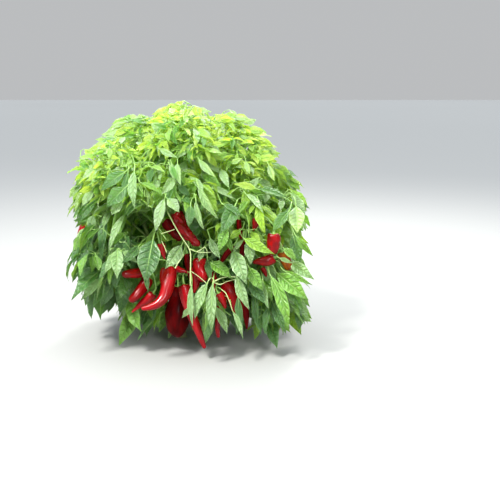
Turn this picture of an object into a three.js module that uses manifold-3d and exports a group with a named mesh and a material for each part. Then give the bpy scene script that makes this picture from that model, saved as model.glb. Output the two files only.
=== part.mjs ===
// A sweet chilli pepper plant in full fruit, as it stands in the bed: one short
// woody stem with a root flare, four main boughs with their side boughs, and a
// broad, uneven crown of drooping leaves that hangs almost to the ground.
// Millimetres, +Z up. The origin is the middle of the flat cut under the stem,
// at ground level. -Y is the side with the open gap where the fruit shows.
//
// The stem and every bough are tapering limbs. Every mass of leaves is one
// closed, uneven solid: a lobed ball with leaf clumps pushed out of it, trimmed
// flat against its neighbours. The boughs end where they enter the leaves.

import * as THREE from "three";
import { mergeVertices } from "three/addons/utils/BufferGeometryUtils.js";
import Module from "manifold-3d";

const wasm = await Module();
wasm.setup();

// ---------------------------------------------------------------- sizes (mm)
const PLANT_HEIGHT = 705; // ground to the highest shoot tip
const GROUND_CLEARANCE = 7; // the lowest hanging leaf tip above the ground
const GAP = 0.35; // room between two solids that touch

const STEM_FORK_HEIGHT = 165;
const STEM_BASE_RADIUS = 11.5;
const STEM_FORK_RADIUS = 9.2;
const ROOT_FLARE_RADIUS = 18;
const ROOT_FLARE_HEIGHT = 26;
const STEM_LEAN = new THREE.Vector2(7, 4); // sideways shift of the fork

const BOUGH_RADIUS = 6.6; // a main bough where it leaves the stem
const BOUGH_TIP_RADIUS = 3.2;
const SIDE_RADIUS = 4.4; // a side bough where it leaves its main bough
const SIDE_TIP_RADIUS = 2.4;
const BOUGH_SIDES = 7;
const SIDE_SIDES = 5;
const LIMB_STEP = 46; // length of one straight step along a limb

const LOBE_DETAIL = 3; // icosahedron subdivision of a mass of leaves
const LOBE_BUMPS = 22; // leaf clumps pushed out of each mass
const BUMP_SHARE = 0.3; // how far a clump stands out, as a share of the radius

// ------------------------------------------------------------------ colours
const finish = (colour, roughness) =>
  new THREE.MeshStandardMaterial({ color: colour, roughness, metalness: 0 });
const bark = finish(0x7d8a4c, 0.75);
const youngBark = finish(0x6f9a3c, 0.6);
const lowLeaf = finish(0x3c7a2c, 0.55);
const midLeaf = finish(0x4f9430, 0.55);
const topLeaf = finish(0x79b53a, 0.55);

// ------------------------------------------------------------------ helpers
function random(seed) {
  let s = seed >>> 0;
  return () => {
    s = (s + 0x6d2b79f5) >>> 0;
    let t = s;
    t = Math.imul(t ^ (t >>> 15), t | 1);
    t ^= t + Math.imul(t ^ (t >>> 7), t | 61);
    return ((t ^ (t >>> 14)) >>> 0) / 4294967296;
  };
}

function solid(geometry) {
  const g = geometry.index ? geometry.toNonIndexed() : geometry.clone();
  const bare = new THREE.BufferGeometry().setAttribute(
    "position",
    g.getAttribute("position"),
  );
  const merged = mergeVertices(bare, 1e-3);
  return new wasm.Manifold(
    new wasm.Mesh({
      numProp: 3,
      vertProperties: merged.attributes.position.array,
      triVerts: new Uint32Array(merged.index.array),
    }),
  );
}

function largest(body) {
  return body.decompose().sort((a, b) => b.volume() - a.volume())[0];
}

function geometryOf(body) {
  const m = body.getMesh();
  const position = new Float32Array(m.numVert * 3);
  for (let i = 0; i < m.numVert; i++)
    for (let k = 0; k < 3; k++)
      position[3 * i + k] = m.vertProperties[m.numProp * i + k];
  const g = new THREE.BufferGeometry();
  g.setAttribute("position", new THREE.BufferAttribute(position, 3));
  g.setIndex(new THREE.BufferAttribute(new Uint32Array(m.triVerts), 1));
  return g;
}

const v3 = (p) => new THREE.Vector3(...p);

// A tapering limb: a cylinder bent along a smooth curve through its joints.
function limb(joints, baseRadius, tipRadius, sides, grow = 0) {
  const curve = new THREE.CatmullRomCurve3(joints.map(v3), false, "centripetal");
  const length = curve.getLength();
  const steps = Math.max(4, Math.round(length / LIMB_STEP));
  const frames = curve.computeFrenetFrames(steps, false);
  const g = new THREE.CylinderGeometry(1, 1, 1, sides, steps);
  const p = g.getAttribute("position");
  for (let i = 0; i < p.count; i++) {
    const t = p.getY(i) + 0.5;
    const at = Math.round(t * steps);
    const stretch = 1 + (grow / length) * (t > 0.5 ? 1 : 0);
    const c = curve.getPointAt(Math.min(1, t));
    if (t > 0.999 && grow)
      c.addScaledVector(frames.tangents[at], grow * stretch);
    const r = THREE.MathUtils.lerp(baseRadius, tipRadius, Math.pow(t, 0.8));
    const k = r + grow;
    c.addScaledVector(frames.normals[at], -p.getX(i) * k);
    c.addScaledVector(frames.binormals[at], p.getZ(i) * k);
    p.setXYZ(i, c.x, c.y, c.z);
  }
  return solid(g);
}

// The stem: a turned profile with the root flare, leaning a little, its flare
// drawn out into four shallow roots where it meets the ground.
function stem(grow = 0) {
  const profile = [new THREE.Vector2(0, 0)];
  const rings = 9;
  for (let i = 0; i <= rings; i++) {
    const z = STEM_FORK_HEIGHT * Math.pow(i / rings, 1.5);
    const flare = Math.exp(-z / (ROOT_FLARE_HEIGHT * 0.45));
    const r =
      THREE.MathUtils.lerp(STEM_BASE_RADIUS, STEM_FORK_RADIUS, z / STEM_FORK_HEIGHT) +
      (ROOT_FLARE_RADIUS - STEM_BASE_RADIUS) * flare;
    profile.push(new THREE.Vector2(r + grow, z + (i === rings ? grow : 0)));
  }
  profile.push(new THREE.Vector2(0, STEM_FORK_HEIGHT + grow));
  const g = new THREE.LatheGeometry(profile, 16);
  const p = g.getAttribute("position");
  for (let i = 0; i < p.count; i++) {
    const x = p.getX(i);
    const z = p.getY(i);
    const y = p.getZ(i);
    const a = Math.atan2(y, x);
    const flare = Math.exp(-z / (ROOT_FLARE_HEIGHT * 0.5));
    const k = 1 + 0.12 * flare * Math.cos(4 * a + 0.6);
    const s = Math.pow(Math.max(0, z) / STEM_FORK_HEIGHT, 1.3);
    p.setXYZ(i, -x * k + STEM_LEAN.x * s, y * k + STEM_LEAN.y * s, z);
  }
  return solid(g);
}

// A mass of leaves: an uneven ball with leaf clumps pushed out of it, mostly
// outwards and down, as the leaves hang.
function lobe([x, y, z], [rx, ry, rz], seed) {
  const roll = random(seed);
  const outward = new THREE.Vector3(x, y, (z - 300) * 0.8).normalize();
  const clumps = [];
  for (let i = 0; i < LOBE_BUMPS; i++) {
    const a = roll() * Math.PI * 2;
    const h = roll() * 2 - 1;
    const d = new THREE.Vector3(
      Math.sqrt(1 - h * h) * Math.cos(a),
      Math.sqrt(1 - h * h) * Math.sin(a),
      h,
    );
    if (d.dot(outward) < -0.35) d.negate();
    clumps.push([d, 9 + 22 * roll(), BUMP_SHARE * (0.35 + roll())]);
  }
  const g = new THREE.IcosahedronGeometry(1, LOBE_DETAIL);
  const p = g.getAttribute("position");
  const n = new THREE.Vector3();
  for (let i = 0; i < p.count; i++) {
    n.fromBufferAttribute(p, i).normalize();
    let r = 0.88;
    let out = 0;
    for (const [d, sharp, high] of clumps)
      out = Math.max(out, high * Math.exp(-sharp * (1 - n.dot(d))));
    r += out + 0.04 * Math.sin(5 * n.x + seed) * Math.sin(4 * n.y + 2 * seed);
    const px = x + n.x * r * rx;
    const py = y + n.y * r * ry;
    let pz = z + n.z * r * rz;
    // outer edges hang a little lower than the middle of the mass
    const away = Math.hypot(px, py) - Math.hypot(x, y);
    pz -= 0.12 * Math.max(0, away);
    pz = Math.max(pz, GROUND_CLEARANCE + 4 * (1 + n.x * n.y));
    pz = Math.min(pz, PLANT_HEIGHT);
    p.setXYZ(i, px, py, pz);
  }
  return solid(g);
}

// Everything on the far side of a plane, as a large block to cut with.
function beyond(point, normal) {
  const g = new THREE.BoxGeometry(2400, 2400, 2400);
  g.translate(0, 0, 1200);
  const turn = new THREE.Quaternion().setFromUnitVectors(
    new THREE.Vector3(0, 0, 1),
    normal.clone().normalize(),
  );
  g.applyQuaternion(turn);
  g.translate(point.x, point.y, point.z);
  return solid(g);
}

// -------------------------------------------------------------------- limbs
const FORK = [STEM_LEAN.x, STEM_LEAN.y, STEM_FORK_HEIGHT - 6];

// name, joints from the fork outwards, and whether it is a main bough
const MAIN_BOUGHS = {
  bough_left: [FORK, [-38, -2, 205], [-84, 0, 290], [-118, 8, 400], [-124, 18, 478]],
  bough_right: [FORK, [48, -6, 205], [98, -10, 285], [132, -14, 395], [143, -20, 476]],
  bough_back: [FORK, [8, 44, 212], [14, 88, 300], [22, 110, 405], [26, 116, 488]],
  bough_front: [FORK, [6, -30, 218], [4, -58, 310], [8, -78, 420], [12, -84, 512]],
};
const SIDE_BOUGHS = {
  side_bough_front_left: ["bough_left", 0.34, [-112, -58, 292], [-148, -96, 318]],
  side_bough_left: ["bough_left", 0.5, [-142, 4, 352], [-176, -6, 392]],
  side_bough_left_low: ["bough_left", 0.26, [-100, 14, 232], [-168, 20, 246]],
  side_bough_right: ["bough_right", 0.5, [172, -2, 340], [208, -2, 372]],
  side_bough_front_right: ["bough_right", 0.36, [130, -66, 290], [158, -104, 340]],
  side_bough_right_low: ["bough_right", 0.22, [120, -46, 226], [194, -82, 232]],
  side_bough_front_low: ["bough_front", 0.14, [44, -92, 214], [74, -160, 188]],
  side_bough_back_left: ["bough_back", 0.36, [-34, 124, 288], [-86, 152, 258]],
  side_bough_back_right: ["bough_back", 0.4, [74, 126, 322], [118, 150, 358]],
  side_bough_right_back_low: ["bough_right", 0.3, [118, 48, 240], [156, 84, 236]],
  side_bough_back_low: ["bough_back", 0.22, [34, 132, 236], [50, 176, 214]],
  side_bough_front: ["bough_front", 0.5, [0, -112, 376], [-6, -150, 408]],
  side_bough_back_left_high: ["bough_back", 0.58, [-26, 140, 378], [-60, 160, 392]],
  side_bough_front_left_high: ["bough_left", 0.62, [-132, -36, 408], [-144, -78, 450]],
};

// ---------------------------------------------------------- masses of leaves
// centre, half sizes, leaf colour
const MASSES = {
  leaves_low_front_left: [[-172, -142, 296], [116, 104, 112], lowLeaf],
  leaves_low_front_middle: [[92, -206, 140], [102, 66, 98], lowLeaf],
  leaves_low_front_right: [[262, -118, 198], [104, 112, 162], lowLeaf],
  leaves_low_left: [[-222, 34, 226], [82, 122, 124], lowLeaf],
  leaves_low_back_left: [[-128, 190, 206], [122, 96, 138], lowLeaf],
  leaves_low_back: [[56, 226, 184], [114, 84, 142], lowLeaf],
  leaves_low_right: [[232, 112, 200], [116, 118, 146], lowLeaf],
  leaves_mid_left: [[-210, -12, 424], [96, 128, 112], midLeaf],
  leaves_mid_front: [[-8, -198, 472], [140, 92, 96], midLeaf],
  leaves_mid_front_right: [[172, -164, 392], [108, 104, 116], midLeaf],
  leaves_mid_right: [[268, 2, 400], [96, 124, 120], midLeaf],
  leaves_mid_back_right: [[156, 184, 400], [122, 102, 118], midLeaf],
  leaves_mid_back_left: [[-92, 192, 402], [122, 100, 120], midLeaf],
  leaves_upper_front_left: [[-150, -122, 512], [116, 108, 100], topLeaf],
  leaves_upper_left: [[-132, 62, 556], [112, 114, 108], topLeaf],
  leaves_upper_front: [[26, -106, 600], [114, 106, 92], topLeaf],
  leaves_upper_right: [[160, -36, 556], [122, 116, 112], topLeaf],
  leaves_upper_back: [[44, 124, 572], [120, 112, 106], topLeaf],
  leaves_top: [[12, 6, 636], [92, 90, 70], topLeaf],
};

// ------------------------------------------------------------ put it together
const group = new THREE.Group();
function add(name, body, material) {
  const mesh = new THREE.Mesh(geometryOf(body), material);
  mesh.name = name;
  group.add(mesh);
}

// Stem and boughs: each bough is cut round what it grows from and round the
// boughs already there, and ends where it enters a mass of leaves.
const names = Object.keys(MASSES);
const raw = names.map((name, i) => lobe(MASSES[name][0], MASSES[name][1], 31 + 17 * i));
const leafRoom = names.map((name, i) =>
  lobe(MASSES[name][0], MASSES[name][1].map((r) => r + 2 * GAP), 31 + 17 * i),
);

const grownSoFar = [stem(GAP)];
function addLimb(name, joints, base, tip, sides, material) {
  let body = limb(joints, base, tip, sides);
  for (const other of grownSoFar) body = body.subtract(other);
  for (const room of leafRoom) body = body.subtract(room);
  add(name, largest(body), material);
  grownSoFar.push(limb(joints, base, tip, sides, GAP));
}

add("main_stem", stem(), bark);
for (const [name, joints] of Object.entries(MAIN_BOUGHS))
  addLimb(name, joints, BOUGH_RADIUS, BOUGH_TIP_RADIUS, BOUGH_SIDES, bark);
for (const [name, [parent, share, ...rest]] of Object.entries(SIDE_BOUGHS)) {
  const parentCurve = new THREE.CatmullRomCurve3(
    MAIN_BOUGHS[parent].map(v3),
    false,
    "centripetal",
  );
  const start = parentCurve.getPointAt(share).toArray();
  addLimb(name, [start, ...rest], SIDE_RADIUS, SIDE_TIP_RADIUS, SIDE_SIDES, youngBark);
}

// Masses: trimmed against each neighbour on the plane where the two meet.
const reach = (size, way) =>
  1 / Math.hypot(way.x / size[0], way.y / size[1], way.z / size[2]);
names.forEach((name, i) => {
  const [centre, size, material] = MASSES[name];
  const here = v3(centre);
  let body = raw[i];
  names.forEach((other, j) => {
    if (i === j || raw[i].intersect(raw[j]).volume() < 1) return;
    const there = v3(MASSES[other][0]);
    const way = there.clone().sub(here);
    const apart = way.length();
    way.normalize();
    const mine = reach(size, way);
    const theirs = reach(MASSES[other][1], way);
    const meet = here.clone().addScaledVector(way, (apart * mine) / (mine + theirs) - GAP);
    body = body.subtract(beyond(meet, way));
  });
  add(name, largest(body), material);
});

export default group;
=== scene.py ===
"""Looks of a sweet chilli pepper plant in full fruit.

The limbs follow the frame's own limbs. Twigs fork on from them by a seeded rule
until every shoot has its twig, and each shoot carries its leaves. All lengths
are in metres; MM turns the sizes below, given in millimetres, into metres.
"""

import math

import bpy
import numpy as np
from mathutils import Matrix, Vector
from mathutils.bvhtree import BVHTree


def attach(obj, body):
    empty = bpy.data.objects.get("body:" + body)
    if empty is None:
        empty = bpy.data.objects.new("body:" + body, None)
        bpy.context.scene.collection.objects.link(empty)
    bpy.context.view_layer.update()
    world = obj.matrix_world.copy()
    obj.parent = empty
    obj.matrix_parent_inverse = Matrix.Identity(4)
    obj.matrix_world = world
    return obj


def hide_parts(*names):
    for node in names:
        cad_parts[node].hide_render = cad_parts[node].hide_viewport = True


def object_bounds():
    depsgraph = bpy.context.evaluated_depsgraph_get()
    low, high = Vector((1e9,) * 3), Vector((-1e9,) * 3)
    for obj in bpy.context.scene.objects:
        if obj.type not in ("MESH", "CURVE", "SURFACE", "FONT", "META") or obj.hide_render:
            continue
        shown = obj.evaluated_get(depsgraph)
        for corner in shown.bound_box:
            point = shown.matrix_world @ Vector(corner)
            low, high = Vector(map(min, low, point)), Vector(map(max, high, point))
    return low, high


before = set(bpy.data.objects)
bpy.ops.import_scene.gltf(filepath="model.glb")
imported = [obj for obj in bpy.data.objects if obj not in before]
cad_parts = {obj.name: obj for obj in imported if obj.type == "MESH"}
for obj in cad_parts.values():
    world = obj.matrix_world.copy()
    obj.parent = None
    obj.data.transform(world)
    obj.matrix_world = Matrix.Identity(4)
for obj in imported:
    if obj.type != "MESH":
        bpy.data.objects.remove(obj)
CAD_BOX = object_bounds()
MM = 0.001
UP = np.array([0.0, 0.0, 1.0])

# ------------------------------------------------------------------ camera
# The picture is 500 x 500. The camera stands 2.4 m from the plant's foot and
# looks 12 degrees down.
CAM = np.array([0.211, -2.292, 0.760])
PITCH = math.radians(12)
FOCAL = 774.0
C_RIGHT = np.array([1.0, 0.0, 0.0])
C_UP = np.array([0.0, math.sin(PITCH), math.cos(PITCH)])
C_AHEAD = np.array([0.0, math.cos(PITCH), -math.sin(PITCH)])


def ray(px, py):
    d = C_AHEAD + C_RIGHT * (px - 250) / FOCAL - C_UP * (py - 250) / FOCAL
    return d / np.linalg.norm(d)


def at(px, py, y):
    """The point seen at a picture place, at depth y in millimetres."""
    d = ray(px, py)
    return CAM + d * ((y * MM - CAM[1]) / d[1])


def pixel(p):
    q = np.asarray(p, float) - CAM
    depth = q @ C_AHEAD
    return np.stack(
        [250 + FOCAL * (q @ C_RIGHT) / depth, 250 - FOCAL * (q @ C_UP) / depth], -1
    ), depth


# ------------------------------------------------------------------ helpers
def unit(v):
    v = np.asarray(v, float)
    return v / max(np.linalg.norm(v), 1e-12)


def across(v, w):
    """v without its part along w, at unit length."""
    w = unit(w)
    r = np.asarray(v, float) - w * (np.asarray(v, float) @ w)
    n = np.linalg.norm(r)
    if n < 1e-6:
        r = np.cross(w, [0.3, 0.9, 0.1])
        n = np.linalg.norm(r)
    return r / n


def turned(v, axis, angle):
    axis = unit(axis)
    c, s = math.cos(angle), math.sin(angle)
    return v * c + np.cross(axis, v) * s + axis * (axis @ v) * (1 - c)


def smooth(x, a, b):
    t = np.clip((np.asarray(x, float) - a) / (b - a), 0, 1)
    return t * t * (3 - 2 * t)


def catmull(points, steps):
    """A centripetal curve through the points, evenly stepped by length."""
    p = np.asarray(points, float)
    ends = np.vstack([2 * p[0] - p[1], p, 2 * p[-1] - p[-2]])
    fine = []
    for i in range(len(p) - 1):
        x0, x1, x2, x3 = ends[i : i + 4]
        d0 = max(np.linalg.norm(x1 - x0) ** 0.5, 1e-6)
        d1 = max(np.linalg.norm(x2 - x1) ** 0.5, 1e-6)
        d2 = max(np.linalg.norm(x3 - x2) ** 0.5, 1e-6)
        t1 = ((x1 - x0) / d0 - (x2 - x0) / (d0 + d1) + (x2 - x1) / d1) * d1
        t2 = ((x2 - x1) / d1 - (x3 - x1) / (d1 + d2) + (x3 - x2) / d2) * d1
        t = np.linspace(0, 1, 25)[:-1, None]
        fine.append(
            x1 + t1 * t + (-3 * x1 + 3 * x2 - 2 * t1 - t2) * t**2
            + (2 * x1 - 2 * x2 + t1 + t2) * t**3
        )
    fine = np.vstack([*fine, p[-1:]])
    run = np.concatenate([[0], np.cumsum(np.linalg.norm(np.diff(fine, axis=0), axis=1))])
    want = np.linspace(0, run[-1], steps + 1)
    return np.stack([np.interp(want, run, fine[:, k]) for k in range(3)], 1)


def length_of(pts):
    return float(np.linalg.norm(np.diff(pts, axis=0), axis=1).sum())


class Bag:
    """Gathers faces for one joined piece, with a bake map and a material each."""

    def __init__(self):
        self.verts, self.quads, self.tris = [], [], []
        self.quad_uv, self.tri_uv = [], []
        self.quad_mat, self.tri_mat = [], []
        self.count = 0

    def add(self, verts, quads=None, quad_uv=None, tris=None, tri_uv=None, mat=0):
        verts = np.asarray(verts, float).reshape(-1, 3)
        if quads is not None and len(quads):
            self.quads.append(np.asarray(quads) + self.count)
            self.quad_uv.append(np.asarray(quad_uv, float))
            self.quad_mat.append(np.full(len(quads), mat))
        if tris is not None and len(tris):
            self.tris.append(np.asarray(tris) + self.count)
            self.tri_uv.append(np.asarray(tri_uv, float))
            self.tri_mat.append(np.full(len(tris), mat))
        self.verts.append(verts)
        self.count += len(verts)

    def triangles(self):
        return 2 * sum(map(len, self.quads)) + sum(map(len, self.tris))

    def make(self, name, materials):
        me = bpy.data.meshes.new(name)
        verts = np.vstack(self.verts)
        verts[:, 2] = np.maximum(verts[:, 2], 0.0)
        quads = np.vstack(self.quads) if self.quads else np.zeros((0, 4), int)
        tris = np.vstack(self.tris) if self.tris else np.zeros((0, 3), int)
        loops = np.concatenate([quads.ravel(), tris.ravel()])
        starts = np.concatenate(
            [np.arange(len(quads)) * 4, len(quads) * 4 + np.arange(len(tris)) * 3]
        )
        me.vertices.add(len(verts))
        me.vertices.foreach_set("co", verts.ravel())
        me.loops.add(len(loops))
        me.loops.foreach_set("vertex_index", loops.astype(np.int32))
        me.polygons.add(len(starts))
        me.polygons.foreach_set("loop_start", starts.astype(np.int32))
        mats = np.concatenate([*self.quad_mat, *self.tri_mat]).astype(np.int32)
        me.update(calc_edges=True)
        me.polygons.foreach_set("material_index", mats)
        me.polygons.foreach_set("use_smooth", np.ones(len(starts), bool))
        uv = me.uv_layers.new(name="OFBake")
        flat = [u.reshape(-1, 2) for u in [*self.quad_uv, *self.tri_uv]]
        uv.data.foreach_set("uv", np.vstack(flat).ravel())
        me.validate()
        for m in materials:
            me.materials.append(m)
        ob = bpy.data.objects.new(name, me)
        bpy.context.scene.collection.objects.link(ob)
        print(f"{name}: {self.triangles()} triangles")
        return ob


def tile_of(i, n=2):
    """Low corner and size of tile i of the bake map's n by n tiles."""
    return np.array([(i % n) / n, (i // n) / n]), 1.0 / n


def grid_faces(rows, cols, uv, wrap=False, flip=False):
    """Quads of a (rows+1) x (cols+1) grid, or of a tube if it wraps."""
    n = cols if wrap else cols + 1
    i, j = np.meshgrid(np.arange(rows), np.arange(cols), indexing="ij")
    a = i * n + j
    b = i * n + (j + 1) % n
    c = (i + 1) * n + (j + 1) % n
    d = (i + 1) * n + j
    quads = np.stack([a, b, c, d], -1).reshape(-1, 4)
    u = np.stack(
        [uv[i, j], uv[i, j + 1], uv[i + 1, j + 1], uv[i + 1, j]], -2
    ).reshape(-1, 4, 2)
    if flip:
        quads, u = quads[:, ::-1], u[:, ::-1]
    return quads, u


def frames_along(pts, first=None):
    """Tangents and a twist-free pair of side directions along a path."""
    t = np.gradient(pts, axis=0)
    t /= np.maximum(np.linalg.norm(t, axis=1), 1e-12)[:, None]
    n = np.zeros_like(pts)
    n[0] = across(first if first is not None else [0.2, 0.4, 0.9], t[0])
    for i in range(1, len(pts)):
        n[i] = across(n[i - 1], t[i])
    return t, n, np.cross(t, n)


def tube(bag, pts, radii, sides, mat=0, tile=0, tiles=2, shape=None, start=None,
         caps=True, first=None):
    """A limb: rings round a path. shape(angles, share) scales the radius."""
    pts = np.asarray(pts, float)
    rows = len(pts) - 1
    radii = np.broadcast_to(np.asarray(radii, float), (rows + 1,))
    _, n, b = frames_along(pts, first)
    ang = np.arange(sides) / sides * 2 * math.pi
    r = radii[:, None] * np.ones(sides)
    if shape is not None:
        r = r * shape(ang[None, :], np.linspace(0, 1, rows + 1)[:, None])
    ring = pts[:, None] + (
        n[:, None] * np.cos(ang)[None, :, None] + b[:, None] * np.sin(ang)[None, :, None]
    ) * r[:, :, None]
    low, size = tile_of(tile, tiles)
    u, v = np.meshgrid(
        np.linspace(0.02, 0.98, sides + 1), np.linspace(0.02, 0.98, rows + 1)
    )
    uv = low + np.stack([u, v], -1) * size
    quads, quv = grid_faces(rows, sides, uv, wrap=True, flip=False)
    verts = ring.reshape(-1, 3)
    tris, tuv = [], []
    if caps:
        for row, flip in ((0, True), (rows, False)):
            c = len(verts)
            verts = np.vstack([verts, pts[row]])
            for j in range(sides):
                a, d = row * sides + j, row * sides + (j + 1) % sides
                tris.append([d, a, c] if flip else [a, d, c])
                mid = low + np.array([0.5, 0.02 if flip else 0.98]) * size
                tuv.append([
                    low + np.array([0.4, 0.03 if flip else 0.97]) * size,
                    low + np.array([0.6, 0.03 if flip else 0.97]) * size,
                    mid,
                ])
    bag.add(verts, quads, quv, tris or None, np.array(tuv) if tris else None, mat)


# --------------------------------------------------------------- materials
def new_material(name):
    m = bpy.data.materials.new(name)
    m.use_nodes = True
    t = m.node_tree
    t.nodes.clear()
    return m, t.nodes, t.links


def node(nodes, kind, **sets):
    n = nodes.new(kind)
    for k, v in sets.items():
        setattr(n, k, v)
    return n


def math_node(nodes, links, op, a, b=None, c=None, clamp=False):
    n = node(nodes, "ShaderNodeMath", operation=op, use_clamp=clamp)
    for i, x in enumerate((a, b, c)):
        if x is None:
            continue
        if isinstance(x, (int, float)):
            n.inputs[i].default_value = x
        else:
            links.new(x, n.inputs[i])
    return n.outputs[0]


def ramp(nodes, links, value, low, high, a=0.0, b=1.0):
    n = node(nodes, "ShaderNodeMapRange", interpolation_type="SMOOTHSTEP")
    n.inputs["From Min"].default_value = low
    n.inputs["From Max"].default_value = high
    n.inputs["To Min"].default_value = a
    n.inputs["To Max"].default_value = b
    links.new(value, n.inputs["Value"])
    return n.outputs["Result"]


def mix_colour(nodes, links, share, a, b):
    n = node(nodes, "ShaderNodeMix", data_type="RGBA")
    for name, x in (("A", a), ("B", b)):
        s = next(i for i in n.inputs if i.name == name and i.type == "RGBA")
        if isinstance(x, (tuple, list)):
            s.default_value = (*x, 1)
        else:
            links.new(x, s)
    f = next(i for i in n.inputs if i.name == "Factor" and i.type == "VALUE")
    if isinstance(share, (int, float)):
        f.default_value = share
    else:
        links.new(share, f)
    return next(o for o in n.outputs if o.type == "RGBA")


def tile_coordinates(nodes, links, tile, tiles=2):
    """u and v, each 0 to 1 over the tile, and both as a vector."""
    low, size = tile_of(tile, tiles)
    uv = node(nodes, "ShaderNodeUVMap", uv_map="OFBake")
    m = node(nodes, "ShaderNodeMapping")
    m.inputs["Location"].default_value = (-low[0] / size, -low[1] / size, 0)
    m.inputs["Scale"].default_value = (1 / size, 1 / size, 1)
    links.new(uv.outputs[0], m.inputs[0])
    s = node(nodes, "ShaderNodeSeparateXYZ")
    links.new(m.outputs[0], s.inputs[0])
    return s.outputs[0], s.outputs[1], m.outputs[0]


VEINS = 7  # pairs of side veins on a leaf


def leaf_material(name, tile, blade, dark, vein, glow, gloss, through, ior):
    m, nodes, links = new_material(name)
    u, v, uv = tile_coordinates(nodes, links, tile)
    side = math_node(nodes, links, "ABSOLUTE",
                     math_node(nodes, links, "MULTIPLY_ADD", v, 2.0, -1.0))
    phase = math_node(nodes, links, "FRACT",
                      math_node(nodes, links, "MULTIPLY_ADD", u, float(VEINS), 0.0))
    near = math_node(nodes, links, "PINGPONG",
                     math_node(nodes, links, "MULTIPLY", u, float(VEINS)), 0.5)
    vein_line = ramp(nodes, links, near, 0.085, 0.015)
    fade = ramp(nodes, links, side, 0.98, 0.55)
    vein_line = math_node(nodes, links, "MULTIPLY", vein_line, fade)
    midrib = ramp(nodes, links, side, 0.085, 0.02)
    lines = math_node(nodes, links, "MAXIMUM", vein_line, midrib)
    # mottled blade, with painted shade in the hollows beside the veins and in a band along the midrib
    stretch = node(nodes, "ShaderNodeMapping")
    stretch.inputs["Scale"].default_value = (2.0, 1.0, 1.0)
    stretch.inputs["Location"].default_value = (tile * 3.7, tile * 1.9, 0)
    links.new(uv, stretch.inputs[0])
    cloud = node(nodes, "ShaderNodeTexNoise")
    cloud.inputs["Scale"].default_value = 3.2
    cloud.inputs["Detail"].default_value = 3.0
    links.new(stretch.outputs[0], cloud.inputs["Vector"])
    patch = ramp(nodes, links, cloud.outputs[0], 0.40, 0.62)
    net = node(nodes, "ShaderNodeTexVoronoi", feature="DISTANCE_TO_EDGE")
    net.inputs["Scale"].default_value = 13.0
    links.new(stretch.outputs[0], net.inputs["Vector"])
    mesh_line = ramp(nodes, links, net.outputs[0], 0.10, 0.0)
    base = mix_colour(nodes, links, patch, blade, dark)
    hollow_depth_and_shade = math_node(nodes, links, "MULTIPLY", ramp(nodes, links, near, 0.30, 0.06), fade)
    middle = ramp(nodes, links, side, 0.30, 0.06)
    hollow_depth_and_shade = math_node(nodes, links, "MULTIPLY",
                       math_node(nodes, links, "MAXIMUM", hollow_depth_and_shade, middle), 0.62)
    # painted shade: the blade is mixed darker in these hollows and along the midrib
    base = mix_colour(nodes, links, hollow_depth_and_shade, base, dark)
    soft = math_node(nodes, links, "MULTIPLY", mesh_line, 0.24)
    base = mix_colour(nodes, links, soft, base, vein)
    base = mix_colour(nodes, links,
                      math_node(nodes, links, "MULTIPLY", lines, 0.42), base, vein)
    # painted highlight: the blade is mixed paler towards its edge, as where a curled margin catches the light
    edge_highlight = ramp(nodes, links, side, 0.84, 0.98, 0.0, 0.36)
    base = mix_colour(nodes, links, edge_highlight, base, vein)
    height = math_node(nodes, links, "MULTIPLY", lines, -1.0)
    height = math_node(nodes, links, "MULTIPLY_ADD", mesh_line, -0.45, height)
    bump = node(nodes, "ShaderNodeBump")
    height = math_node(nodes, links, "MULTIPLY_ADD", hollow_depth_and_shade, -1.4, height)
    pucker = node(nodes, "ShaderNodeTexNoise")
    pucker.inputs["Scale"].default_value = 9.0
    pucker.inputs["Detail"].default_value = 2.0
    links.new(stretch.outputs[0], pucker.inputs["Vector"])
    height = math_node(nodes, links, "MULTIPLY_ADD", pucker.outputs[0], 1.2, height)
    bump.inputs["Strength"].default_value = 0.9
    bump.inputs["Distance"].default_value = 0.0026
    links.new(height, bump.inputs["Height"])
    p = node(nodes, "ShaderNodeBsdfPrincipled")
    links.new(base, p.inputs["Base Color"])
    links.new(bump.outputs[0], p.inputs["Normal"])
    rough = ramp(nodes, links, pucker.outputs[0], 0.36, 0.64, gloss - 0.10, gloss + 0.10)
    links.new(rough, p.inputs["Roughness"])
    p.inputs["IOR"].default_value = ior
    p.inputs["Specular IOR Level"].default_value = 1.0
    p.inputs["Coat Weight"].default_value = 0.07
    p.inputs["Coat Roughness"].default_value = 0.30
    t = node(nodes, "ShaderNodeBsdfTranslucent")
    t.inputs["Color"].default_value = (*glow, 1)
    mix = node(nodes, "ShaderNodeMixShader")
    mix.inputs[0].default_value = through
    links.new(p.outputs[0], mix.inputs[1])
    links.new(t.outputs[0], mix.inputs[2])
    out = node(nodes, "ShaderNodeOutputMaterial")
    links.new(mix.outputs[0], out.inputs[0])
    return m


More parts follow.
